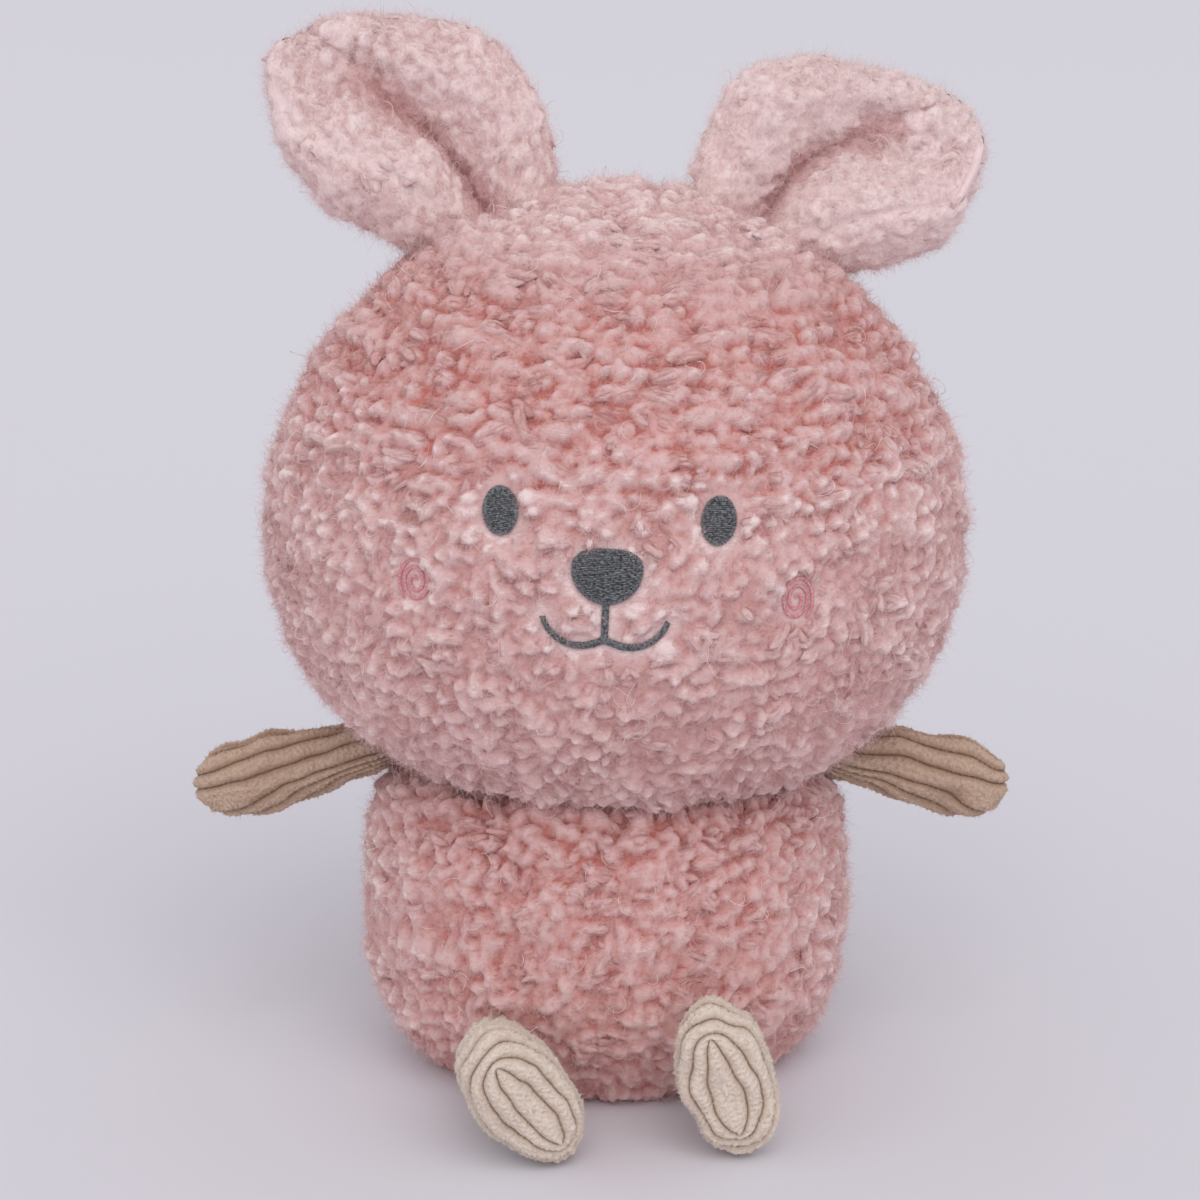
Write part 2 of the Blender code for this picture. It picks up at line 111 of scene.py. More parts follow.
def mesh_piece(name, look, verts, quads, tris, fields=None, matrix=None):
    """One smooth mesh object from arrays in mm; fields are point attributes by name."""
    fields = dict(fields or {})
    if matrix is not None:
        verts = verts @ matrix[:3, :3].T + matrix[:3, 3]
        if "soft" in fields:
            fields["soft"] = fields["soft"] @ matrix[:3, :3].T
    verts = verts.copy()
    verts[:, 2] = np.maximum(verts[:, 2], FLOOR_CLEARANCE)
    mesh = bpy.data.meshes.new(name)
    mesh.vertices.add(len(verts))
    mesh.vertices.foreach_set("co", (verts * MM).astype(np.float32).ravel())
    corners = np.concatenate([quads.ravel(), tris.ravel()]).astype(np.int32)
    mesh.loops.add(len(corners))
    mesh.loops.foreach_set("vertex_index", corners)
    starts = np.concatenate([np.arange(len(quads)) * 4, 4 * len(quads) + np.arange(len(tris)) * 3])
    mesh.polygons.add(len(starts))
    mesh.polygons.foreach_set("loop_start", starts.astype(np.int32))
    mesh.update(calc_edges=True)
    mesh.materials.append(LOOKS[look])
    for key, value in fields.items():
        kind, slot = ("FLOAT", "value") if value.ndim == 1 else ("FLOAT_VECTOR", "vector")
        field = mesh.attributes.new(key, kind, "POINT")
        field.data.foreach_set(slot, value.astype(np.float32).ravel())
    mesh.shade_smooth()
    made = bpy.data.objects.new(name, mesh)
    bpy.context.scene.collection.objects.link(made)
    return made


def grid_quads(rows, cols, wrap=False):
    i, j = np.meshgrid(np.arange(rows - 1), np.arange(cols if wrap else cols - 1), indexing="ij")
    k = (j + 1) % cols
    return np.stack([i * cols + j, i * cols + k, (i + 1) * cols + k, (i + 1) * cols + j], -1).reshape(-1, 4)


def shell(outer, inner, wrap=False):
    """A closed skin between two grids of points (rows, cols, 3), walled along its open edges."""
    rows, cols = outer.shape[:2]
    count = rows * cols
    quads = grid_quads(rows, cols, wrap)
    faces = [quads, quads[:, ::-1] + count]
    if wrap:
        for row, turn in ((0, 1), (rows - 1, -1)):
            a = row * cols + np.arange(cols)
            b = row * cols + (np.arange(cols) + 1) % cols
            wall = np.stack([b, a, a + count, b + count], -1)
            faces.append(wall[:, ::turn])
    else:
        rim = np.concatenate([
            np.arange(cols), np.arange(1, rows) * cols + cols - 1,
            (rows - 1) * cols + np.arange(cols - 2, -1, -1), np.arange(rows - 2, 0, -1) * cols])
        after = np.roll(rim, -1)
        faces.append(np.stack([after, rim, rim + count, after + count], -1))
    verts = np.concatenate([outer.reshape(-1, 3), inner.reshape(-1, 3)])
    return verts, np.concatenate(faces), NO_TRIS


def tubes(spine, e1, e2, r1, r2, sides):
    """Closed tubes: spine, e1 and e2 are (tubes, rings, 3) and the radii (tubes, rings, sides)."""
    count, rings = spine.shape[:2]
    turn = np.arange(sides) * math.tau / sides
    ring = (e1[:, :, None] * (r1 * np.cos(turn))[..., None] + e2[:, :, None] * (r2 * np.sin(turn))[..., None])
    skin = spine[:, :, None] + ring
    first = spine[:, 0] - 0.35 * (spine[:, 1] - spine[:, 0])
    last = spine[:, -1] + 0.35 * (spine[:, -1] - spine[:, -2])
    size = rings * sides + 2
    verts = np.concatenate([skin.reshape(count, -1, 3), first[:, None], last[:, None]], 1).reshape(-1, 3)
    base = (np.arange(count) * size)[:, None, None]
    quads = (grid_quads(rings, sides, True)[None] + base).reshape(-1, 4)
    j = np.arange(sides)
    k = (j + 1) % sides
    low = np.stack([k, j, np.full(sides, rings * sides)], -1)
    top = (rings - 1) * sides
    high = np.stack([top + j, top + k, np.full(sides, rings * sides + 1)], -1)
    tris = (np.concatenate([low, high])[None] + base).reshape(-1, 3)
    return verts, quads, tris


def spine_ways(spine, up):
    """Unit directions along spines (count, rings, 3), level across them, and square to both."""
    ahead = unit(np.gradient(spine, axis=1))
    level = unit(np.cross(up, ahead))
    return ahead, level, np.cross(ahead, level)


def laid(root, way, side, up, run, sway, rise):
    """Spines (count, rings, 3) that run from their roots, sway sideways and rise."""
    return (root[:, None] + way[:, None] * run[..., None] + side[:, None] * sway[..., None]
            + up[:, None] * rise[..., None])


# ---- the pile: merged tufts, locks, fibres and loose bright hairs

LOCK_RINGS = 6
LOCK_SIDES = 6
LOCKS_IN_A_PIECE = 1400  # keeps each mesh under 200 000 triangles
FIBRES_IN_A_PIECE = 45000
GLOW = np.array([0.0, -0.25, 0.75])  # light scatters in through the pile from above and in front
SUNNY = np.array([0.1, -0.55, 0.7])  # free fibres turn their flat sides this way
STRAND_ROWS = 4
STRANDS_PER_MM = 5.0  # of a lock's half width
FUZZ_ON_A_LOCK = 20
LOCKS_TO_A_HAIR = 12
FUZZ_LENGTH = 4.0
FUZZ_HALF_WIDTH = 0.038
DOWN_LENGTH = 2.9
DOWN_HALF_WIDTH = 0.045
TUFT_STEP = 0.72  # mm between the points of the tufts' sheet
MIDDLE_SHADE = 0.55
SKIN_SHADE = 0.45
CURL = 0.35  # usual turn of a lock over its length, in radians
MOST_CURL = 2.2


def lock_shapes(place, normal, heading, length, width, lift, seed):
    """Plump curled cores of the locks, lying along their heading, with what their strands need."""
    draw = np.random.default_rng(seed)
    count = len(place)
    side = np.cross(normal, heading)
    s = np.linspace(0.04, 0.96, LOCK_RINGS)[None, :]
    bend = np.clip(CURL * draw.standard_t(3, size=(count, 1)), -MOST_CURL, MOST_CURL)  # a few hook round
    bend = np.where(np.abs(bend) < 0.05, 0.05, bend)
    run = length[:, None] * (np.sin(bend * s) / bend - 0.42)
    sway = length[:, None] * (1.0 - np.cos(bend * s)) / bend
    tip_height = draw.uniform(0.25, 1.20, size=(count, 1))
    arch = np.sin(math.pi * np.clip(s, 0.0, 0.5)) ** 0.8
    fall = mix(1.0, tip_height, smooth((s - 0.5) / 0.5))
    rise = -0.9 + (0.92 * lift[:, None] + 0.65) * arch * fall
    spine = laid(place, heading, side, normal, run, sway, rise)
    ahead, e1, e2 = spine_ways(spine, normal[:, None])
    round_off = np.sqrt(1.0 - np.abs(2.0 * s - 1.0) ** 2.6)
    waves = draw.uniform(0.7, 1.6, (count, 1))
    lump = 1.0 + 0.20 * np.sin(math.tau * s * waves + draw.uniform(0, 6.3, (count, 1)))
    flat = draw.uniform(0.55, 0.80, (count, 1))
    r1 = 0.42 * width[:, None] * round_off * lump
    r2 = flat * r1
    tone = draw.normal(0.0, 0.06, count)
    return dict(place=place, normal=normal, length=length, spine=spine, ahead=ahead, e1=e1, e2=e2, r1=r1,
                r2=r2, tone=tone)


def pile_shade(height):
    """How pale pile is painted at heights in mm over the backing cloth: painted shade, darker, low in its
    recesses and painted highlight, paler, high at its tips.
    """
    return 0.22 + 0.54 * smooth((height + 0.9) / 4.4)


def even_out(shade, contrast):
    """A shade drawn towards the middle one, where the pile is lit through."""
    return mix(MIDDLE_SHADE, shade, contrast)


def shade_at(points, shape, lock):
    height = ((points - shape["place"][lock]) * shape["normal"][lock]).sum(-1)
    return even_out(pile_shade(height), shape["contrast"][lock]) + shape["tone"][lock]


def lock_cores(shape, seed):
    """The solid middle of each lock, lobed, twisted and uneven."""
    draw = np.random.default_rng(seed)
    count, rings = shape["r1"].shape
    s = np.linspace(0.0, 1.0, rings)[None, :, None]
    turn = np.arange(LOCK_SIDES) * math.tau / LOCK_SIDES
    twist = draw.uniform(-3.0, 3.0, (count, 1, 1)) * s
    lobes = 0.90 + 0.08 * np.sin(2.0 * turn + twist + draw.uniform(0, 6.3, (count, 1, 1)))
    lobes = lobes * (1.0 + 0.10 * draw.normal(size=(count, rings, LOCK_SIDES)))
    r1, r2 = shape["r1"][..., None] * lobes, shape["r2"][..., None] * lobes
    verts, quads, tris = tubes(shape["spine"], shape["e1"], shape["e2"], r1, r2, LOCK_SIDES)
    lock = np.repeat(np.arange(count), rings * LOCK_SIDES + 2)
    # painted shade: each lock is painted paler on its upper side and darker on its sides, its underside and
    # its ends
    facing = np.tile(np.concatenate([np.tile(np.sin(turn), rings), [-0.3, -0.3]]), count)
    shade = np.clip(shade_at(verts, shape, lock) + shape["contrast"][lock] * (0.08 * facing - 0.03), 0.0, 1.0)
    reach = 0.16 * shape["length"]  # the streaks are drawn out along the lock
    grain = np.zeros((count, rings, LOCK_SIDES, 3))
    grain[..., 0] = np.cos(turn) * shape["r1"].max(1)[:, None, None]
    grain[..., 1] = np.sin(turn) * shape["r1"].max(1)[:, None, None]
    grain[..., 2] = reach[:, None, None] * s
    ends = np.zeros((count, 2, 3))
    ends[:, 1, 2] = reach
    grain = np.concatenate([grain.reshape(count, -1, 3), ends], 1) + draw.uniform(0.0, 90.0, (count, 1, 3))
    fields = dict(shade=shade, soft=0.45 * shape["normal"][lock] + 0.45 * GLOW, grain=grain.reshape(-1, 3))
    return verts, quads, tris, fields


def along_lock(field, lock, s):
    """Values of a (locks, rings, ...) field at shares s (K, rows) of the chosen locks' length."""
    at = np.clip((s - 0.04) / 0.92, 0.0, 1.0) * (LOCK_RINGS - 1)
    low = np.minimum(at.astype(int), LOCK_RINGS - 2)
    share = at - low
    if field.ndim == 3:
        share = share[..., None]
    return mix(field[lock[:, None], low], field[lock[:, None], low + 1], share)


def ribbons(spine, across, half_width):
    """Narrow ribbons about spines (K, rows, 3); half_width is (K, rows)."""
    count, rows = spine.shape[:2]
    reach = across * half_width[..., None]
    verts = np.stack([spine - reach, spine + reach], 2).reshape(-1, 3)
    quads = np.array([[2 * i, 2 * i + 1, 2 * i + 3, 2 * i + 2] for i in range(rows - 1)])
    quads = (quads[None] + (np.arange(count) * 2 * rows)[:, None, None]).reshape(-1, 4)
    return verts, quads


def lock_strands(shape, seed):
    """Fine strands wound over each lock's core, which give it its streaks and soft edge."""
    draw = np.random.default_rng(seed)
    size = shape["r1"].max(1)
    each = np.maximum(5, (STRANDS_PER_MM * size).astype(int))
    lock = np.repeat(np.arange(len(size)), each)
    count = len(lock)
    first = draw.uniform(-0.04, 0.40, (count, 1))
    last = np.minimum(first + draw.uniform(0.45, 0.75, (count, 1)), 1.04)
    s = mix(first, last, np.linspace(0.0, 1.0, STRAND_ROWS)[None, :])
    turn = draw.uniform(math.radians(-20.0), math.radians(200.0), (count, 1))
    turn = turn + draw.normal(0.0, 0.6, (count, 1)) * (np.arange(STRAND_ROWS) / (STRAND_ROWS - 1) - 0.5)
    loose = draw.uniform(0.0, 1.0, (count, 1)) ** 3
    out = 1.00 + draw.uniform(0.0, 0.22, (count, 1)) + draw.normal(0.0, 0.03, (count, STRAND_ROWS))
    out = out + loose * np.array([0.0, 0.1, 0.3, 0.6])[None, :]
    sideways, upward = np.cos(turn)[..., None], np.sin(turn)[..., None]
    e1, e2 = along_lock(shape["e1"], lock, s), along_lock(shape["e2"], lock, s)
    r1, r2 = along_lock(shape["r1"], lock, s)[..., None], along_lock(shape["r2"], lock, s)[..., None]
    r1, r2 = np.maximum(r1, 0.35), np.maximum(r2, 0.35)
    outward = unit(e1 * sideways + e2 * upward)
    overshoot = (np.maximum(0.0, s - 0.96) + np.minimum(0.0, s - 0.04)) * 6.0
    off = e1 * sideways * r1 + e2 * upward * r2
    spine = (along_lock(shape["spine"], lock, s) + off * out[..., None]
             + along_lock(shape["ahead"], lock, s) * overshoot[..., None])
    across = unit(np.cross(unit(np.gradient(spine, axis=1)), outward + 0.5 * SUNNY))
    half = draw.uniform(0.06, 0.12, (count, 1)) * np.array([0.5, 1.0, 0.95, 0.35])[None, :]
    verts, quads = ribbons(spine, across, half)
    soft = 0.45 * unit(outward + shape["normal"][lock][:, None]) + 0.5 * GLOW
    lock = np.repeat(lock, 2 * STRAND_ROWS)
    # painted shade: strands over a lock's upper side are painted paler, those round its sides and below
    # darker
    tone = np.repeat(draw.normal(-0.12, 0.06, count) + 0.24 * np.sin(turn[:, 0]), 2 * STRAND_ROWS)
    fields = dict(shade=np.clip(shade_at(verts, shape, lock) + tone, 0.0, 1.0),
                  soft=np.repeat(soft, 2, axis=1).reshape(-1, 3))
    return verts, quads, NO_TRIS, fields


def fuzz(root, out, way, seed, longest, half_width, shade):
    """Short free fibres from roots, lying along a way and standing a little outward."""
    draw = np.random.default_rng(seed)
    count = len(root)
    length = draw.uniform(0.35, 1.0, (count, 1)) * longest
    s = np.array([0.0, 0.5, 1.0])[None, :, None]
    curl = unit(draw.normal(size=(count, 3)) - 0.4 * out)
    bend = draw.uniform(0.4, 1.1, (count, 1))
    spine = root[:, None] + (way * length)[:, None] * s + (curl * length * bend)[:, None] * s ** 2
    face = 0.7 * out + SUNNY + 0.2 * draw.normal(size=(count, 3))
    across = unit(np.cross(way, face))[:, None] + 0.0 * spine
    verts, quads = ribbons(spine, across, half_width * np.array([1.0, 0.9, 0.35]) + np.zeros((count, 1)))
    # painted light: fibres are painted paler towards their tips, as if lit through
    tone = np.clip(shade[:, None] + draw.normal(0.0, 0.08, (count, 1)) + 0.12 * s[:, :, 0], 0.0, 1.0)
    soft = np.repeat(0.4 * out + 0.6 * GLOW, 6, axis=0)
    return verts, quads, NO_TRIS, dict(shade=np.repeat(tone, 2, axis=1).ravel(), soft=soft)


def lock_fuzz(shape, count, seed):
    """Fibres that stand off the locks and soften their outline."""
    draw = np.random.default_rng(seed)
    lock = draw.integers(0, len(shape["place"]), count)
    s = draw.uniform(0.05, 0.98, (count, 1))
    turn = draw.uniform(-0.4, math.pi + 0.4, (count, 1))
    e1, e2 = along_lock(shape["e1"], lock, s)[:, 0], along_lock(shape["e2"], lock, s)[:, 0]
    out = unit(e1 * np.cos(turn) + e2 * np.sin(turn))
    r1, r2 = along_lock(shape["r1"], lock, s), along_lock(shape["r2"], lock, s)
    root = along_lock(shape["spine"], lock, s)[:, 0] + 0.9 * (e1 * np.cos(turn) * r1 + e2 * np.sin(turn) * r2)
    loose = draw.uniform(0.0, 1.0, (count, 1)) ** 2
    along = along_lock(shape["ahead"], lock, s)[:, 0] * draw.choice([1.0, 1.0, -1.0], (count, 1))
    way = unit(along + out * (0.15 + 1.1 * loose) + draw.normal(0.0, 0.6, (count, 3)))
    # painted light: fuzz standing off the locks is painted a little paler, as if lit through
    shade = np.clip(shade_at(root, shape, lock) + 0.04, 0.0, 1.0)
    up = unit(out + shape["normal"][lock])
    return fuzz(root, up, way, seed + 1, FUZZ_LENGTH, FUZZ_HALF_WIDTH, shade)


def loose_hairs(shape, count, seed, open_spot):
    """Single bright hairs, each a thin open hook or loop springing off the pile."""
    draw = np.random.default_rng(seed)
    lock = draw.integers(0, len(shape["place"]), count)
    lock = lock[(shape["normal"][lock][:, 2] > -0.45) & open_spot[lock]]
    count = len(lock)
    ring = draw.integers(1, LOCK_RINGS - 1, count)
    up = shape["normal"][lock]
    root = shape["spine"][lock, ring] + up * 1.0
    way = around(shape["ahead"][lock, ring], up, draw.uniform(-1.2, 1.2, count))
    side = np.cross(up, way)
    length = draw.uniform(4.0, 8.5, (count, 1))
    curve = draw.uniform(1.2, 4.4, (count, 1)) * draw.choice([-1.0, 1.0], (count, 1))
    s = np.linspace(0.0, 1.0, 9)[None, :]
    run = length * np.sin(curve * s) / curve
    sway = length * (1.0 - np.cos(curve * s)) / curve
    rise = draw.uniform(1.2, 3.0, (count, 1)) * np.sin(math.pi * (0.1 + 0.8 * s))
    spine = laid(root, way, side, up, run, sway, rise)
    _, e1, e2 = spine_ways(spine, up[:, None])
    r = np.broadcast_to(draw.uniform(0.05, 0.085, (count, 1, 1)), (count, 9, 3))
    return tubes(spine, e1, e2, r, r, 3)


def tuft_heights(points, place, normal, heading, length, width, lift):
    """How high the merged tufts stand over points of the backing cloth: a soft dome at each lock."""
    tree = KDTree(len(points))
    for index, point in enumerate(points):
        tree.insert(point, index)
    tree.balance()
    middle = place + heading * (0.08 * length)[:, None]
    lock, spot = [], []
    for index, (at, reach) in enumerate(zip(middle, 0.55 * length)):
        found = [hit[1] for hit in tree.find_range(at, reach)]
        spot += found
        lock += [index] * len(found)
    lock, spot = np.array(lock, int), np.array(spot, int)
    off = points[spot] - middle[lock]
    along = (off * heading[lock]).sum(-1) / (0.52 * length[lock])
    across = (off * np.cross(normal, heading)[lock]).sum(-1) / (0.66 * width[lock])
    full = 0.90 * lift[lock] + 0.20 * width[lock] + 0.2
    dome = np.sqrt(np.maximum(0.0, 1.0 - along ** 2 - across ** 2)) * full
    dome *= 0.85 + 0.45 * along  # a lock is fullest near its tip
    return np.bincount(spot, dome ** 4, len(points)) ** 0.25


def blurred(field, times):
    """A (rows, cols) field averaged with its neighbours."""
    for _ in range(times):
        padded = np.pad(field, 1, mode="edge")
        field = (padded[2:, 1:-1] + padded[:-2, 1:-1] + padded[1:-1, 2:] + padded[1:-1, :-2] + field) / 5.0
    return field


def arc_length(points):
    return np.linalg.norm(np.diff(points, axis=0), axis=-1).sum()


def even_tone(points):
    return 0.0


def level_contrast(level):
    """The same contrast all over a surface."""
    return lambda points: np.full(len(points), level)


PILE = dict(matrix=None, clear=None, tone=even_tone, contrast=level_contrast(1.0), down=2.2, fill=0.85,
            cloth=SKIN, under=0.3, comb=(1.0, 1.0, 0.45))


def grow_pile(name, surface, spots, panels, lats, body, seed, **how):
    """Backing cloth, merged tufts, locks and fibres over the panels of one surface.

    spots are longitude, place, normal, heading, length, width and lift of the locks; panels are
    (label, CAD node, west, east). What PILE has may be told otherwise: clear tells how far points are
    from the embroidery, tone how much paler the pile is painted there, as painted light and shade, and
    contrast how strong its painted shade is; down is the free fibres per square mm; cloth is the
    backing's thickness and under its depth below the form; comb draws out the streaks of the tufts.
    """
    how = {**PILE, **how, "lats": lats}
    lon, locks = spots[0], spots[1:]
    for number, (label, node, west, east) in enumerate(panels):
        title = name + ("_" + label if label else "")
        made = [backing_cloth(title, surface, node, west, east, how)]
        piece, sheet = tuft_sheet(title, surface, west, east, locks, seed, how)
        made.append(piece)
        made += down_fibres(title, sheet, seed + number, seed, how)
        inside = np.where((lon >= west) & (lon < east))[0]
        order = inside[np.argsort(locks[0][inside][:, 2])]
        parts = max(1, math.ceil(len(order) / LOCKS_IN_A_PIECE))
        for part, chosen in enumerate(np.array_split(order, parts)):
            made += lock_pieces(title, part, [v[chosen] for v in locks], seed + 100 * number + 7 * part, how)
        for piece in made:
            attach(piece, body)


def backing_cloth(title, surface, node, west, east, how):
    """The cloth that the pile is rooted in, which stands for a panel of the CAD."""
    steps = 41 if east - west < 100 else 81
    grid = np.meshgrid(np.linspace(west + 0.3, east - 0.3, steps), np.linspace(*how["lats"], 46))
    verts, quads, tris = shell(surface(*grid, -how["under"]), surface(*grid, -how["under"] - how["cloth"]))
    shade = even_out(SKIN_SHADE, how["contrast"](verts)) + how["tone"](verts)
    skin = mesh_piece(title + "_skin", "skin", verts, quads, tris, dict(shade=shade), how["matrix"])
    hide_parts(node)
    return skin


def tuft_sheet(title, surface, west, east, locks, seed, how):
    """The merged tufts over one panel as one rolling sheet, and what its free fibres need to know."""
    lats = how["lats"]
    widest = 0.5 * sum(lats) if lats[0] > -40.0 else 0.0
    ring = surface(np.linspace(west, east, 200), np.full(200, widest), 0.0)
    line = surface(np.full(200, 0.5 * (west + east)), np.linspace(*lats, 200), 0.0)
    cols, rows = int(arc_length(ring) / TUFT_STEP), int(arc_length(line) / TUFT_STEP)
    grid = np.meshgrid(np.linspace(west, east, cols), np.linspace(*lats, rows))
    flat, out, _, north = surface_frame(surface, *grid, 0.0)
    area = area_weight(flat)
    flat, out, north = flat.reshape(-1, 3), out.reshape(-1, 3), north.reshape(-1, 3)
    height = tuft_heights(flat, *locks)
    for turn, (size, wavelength) in enumerate(((0.20, 4.5), (0.14, 2.3), (0.4, 19.0))):
        height = height + size * ripple(flat, wavelength, seed + 1 + turn)
    height = 0.35 + np.maximum(0.0, height)
    far = None
    if how["clear"]:
        far = how["clear"](flat)
        height = mix(0.25, height, smooth((far + 0.8) / 2.4))
    square = height.reshape(rows, cols)
    # painted shade: the sheet is painted darker on steep slopes and in the narrow gaps between the tufts
    slope = np.linalg.norm(np.stack(np.gradient(square), -1), axis=-1).ravel() / TUFT_STEP
    gap = np.clip(blurred(square, 4).ravel() - height, -0.6, 0.9)
    shade = pile_shade(height) - 0.10 * np.minimum(1.5, slope) - 0.45 * gap
    shade = np.clip(even_out(shade, how["contrast"](flat)) + how["tone"](flat), 0.0, 1.0)
    # painted shade eased near the embroidery, where the low sheet would otherwise be painted dark
    if how["clear"]:
        shade = np.clip(shade + 0.30 * (1.0 - smooth((far - 0.5) / 4.0)), 0.0, 1.0)
    verts = flat + out * height[:, None]
    fields = dict(shade=shade, soft=0.45 * out + 0.4 * GLOW, grain=verts * np.array(how["comb"]))
    piece = mesh_piece(title + "_tufts", "pile", verts, grid_quads(rows, cols), NO_TRIS, fields,
                       how["matrix"])
    return piece, dict(verts=verts, out=out, north=north, shade=shade, far=far, area=area)


def down_fibres(title, sheet, seed, fuzz_seed, how):
    """Short free fibres all over the merged tufts, combed a little downward."""
    draw = np.random.default_rng(seed)
    total = sheet["area"].sum()
    pick = draw.choice(len(sheet["area"]), int(how["down"] * total), p=sheet["area"] / total)
    if how["clear"]:
        pick = pick[sheet["far"][pick] > 1.0]
    made = []
    parts = max(1, math.ceil(len(pick) / FIBRES_IN_A_PIECE))
    for part, chosen in enumerate(np.array_split(pick, parts)):
        count, up = len(chosen), sheet["out"][chosen]
        stand = draw.uniform(0.0, 1.0, (count, 1)) ** 1.5
        flow = draw.normal(size=(count, 3)) - 0.3 * sheet["north"][chosen]
        flow = unit(flow - up * (flow * up).sum(-1, keepdims=True))
        way = unit(flow + up * (0.1 + 1.4 * stand))
        root = sheet["verts"][chosen] + up * draw.uniform(-0.5, 0.1, (count, 1))
        root = root + 0.4 * draw.normal(size=(count, 3))
        rows = fuzz(root, up, way, fuzz_seed + 30 + part, DOWN_LENGTH, DOWN_HALF_WIDTH,
                    sheet["shade"][chosen] + 0.02)
        made.append(mesh_piece(title + "_down_" + str(part + 1), "fibre", *rows, how["matrix"]))
    return made


def lock_pieces(title, part, locks, seed, how):
    """The locks of one part of a panel: cores, strands, fuzz and loose hairs."""
    shape = lock_shapes(*locks, seed)
    shape["tone"] = shape["tone"] + how["tone"](shape["place"])
    shape["contrast"] = how["contrast"](shape["place"])
    count = len(shape["place"])
    open_spot = how["clear"](shape["place"]) > 8.0 if how["clear"] else np.ones(count, bool)
    hairs = loose_hairs(shape, max(4, count // LOCKS_TO_A_HAIR), seed + 4, open_spot)
    kinds = (("locks", "pile", lock_cores(shape, seed + 1)),
             ("strands", "fibre", lock_strands(shape, seed + 2)),
             ("fuzz", "fibre", lock_fuzz(shape, FUZZ_ON_A_LOCK * count, seed + 3)),
             ("hairs", "hair", (*hairs, None)))
    return [mesh_piece("_".join((title, kind, str(part + 1))), look, *rows, how["matrix"])
            for kind, look, rows in kinds]


def area_weight(grid):
    """Area about each point of a (rows, cols, 3) grid, flattened."""
    down = np.linalg.norm(np.gradient(grid, axis=0), axis=-1)
    side = np.linalg.norm(np.gradient(grid, axis=1), axis=-1)
    return (down * side).ravel()


# ---- materials

def new_look(name, colour, roughness, **fixed):
    look = bpy.data.materials.new(name)
    look.use_nodes = True
    nodes, links = look.node_tree.nodes, look.node_tree.links
    shader = nodes["Principled BSDF"]
    shader.inputs["Base Color"].default_value = (*colour, 1.0)
    shader.inputs["Roughness"].default_value = roughness
    for key, value in fixed.items():
        shader.inputs[key.replace("_", " ")].default_value = value
    return look, nodes, links, shader


def add_node(nodes, kind, **settings):
    node = nodes.new(kind)
    for key, value in settings.items():
        if key in node.bl_rna.properties:
            setattr(node, key, value)
        else:
            node.inputs[key.replace("_", " ")].default_value = value
    return node


def ramp_node(nodes, stops):
    ramp = nodes.new("ShaderNodeValToRGB")
    ramp.color_ramp.interpolation = "EASE"
    while len(ramp.color_ramp.elements) < len(stops):
        ramp.color_ramp.elements.new(0.5)
    for element, (place, colour) in zip(ramp.color_ramp.elements, stops):
        element.position = place
        element.color = (*colour, 1.0)
    return ramp


def colour_by(nodes, links, shader, factor, stops):
    """Colour a shader by a ramp over a factor."""
    ramp = ramp_node(nodes, stops)
    links.new(factor, ramp.inputs["Fac"])
    links.new(ramp.outputs["Color"], shader.inputs["Base Color"])
    return ramp.outputs["Color"]


def relief_by(nodes, links, shader, noise, strength, depth_mm):
    bump = add_node(nodes, "ShaderNodeBump", Strength=strength, Distance=depth_mm * MM)
    links.new(noise.outputs["Fac"], bump.inputs["Height"])
    links.new(bump.outputs["Normal"], shader.inputs["Normal"])
    return bump


def mottled_shade(nodes, links, shade, noise, share, middle):
    """The field "shade" with a share of a noise added, less the noise's middle."""
    tone = add_node(nodes, "ShaderNodeMath", operation="MULTIPLY_ADD")
    tone.inputs[1].default_value = share
    links.new(noise.outputs["Fac"], tone.inputs[0])
    links.new(shade.outputs["Fac"], tone.inputs[2])
    centre = add_node(nodes, "ShaderNodeMath", operation="SUBTRACT")
    centre.inputs[1].default_value = middle
    links.new(tone.outputs[0], centre.inputs[0])
    return centre.outputs[0]


# The pile's colours along the field shade: painted shade, warm and dark, deep in its recesses and on the
# locks' undersides, and painted highlight, pale, at its tips and where painted light is added.
PILE_SHADED_DEEP = (0.600, 0.225, 0.195)
PILE_MID = (0.690, 0.390, 0.368)
PILE_TIP = (0.725, 0.490, 0.478)
PILE_LIT_PALE = (0.880, 0.715, 0.705)
PILE_STOPS = ((0.0, PILE_SHADED_DEEP), (0.38, PILE_MID), (0.74, PILE_TIP), (1.0, PILE_LIT_PALE))
PILE_SHEEN = (1.0, 0.80, 0.78, 1.0)
FIBRE_THROUGH = 0.4  # share of the light that a fibre lets through


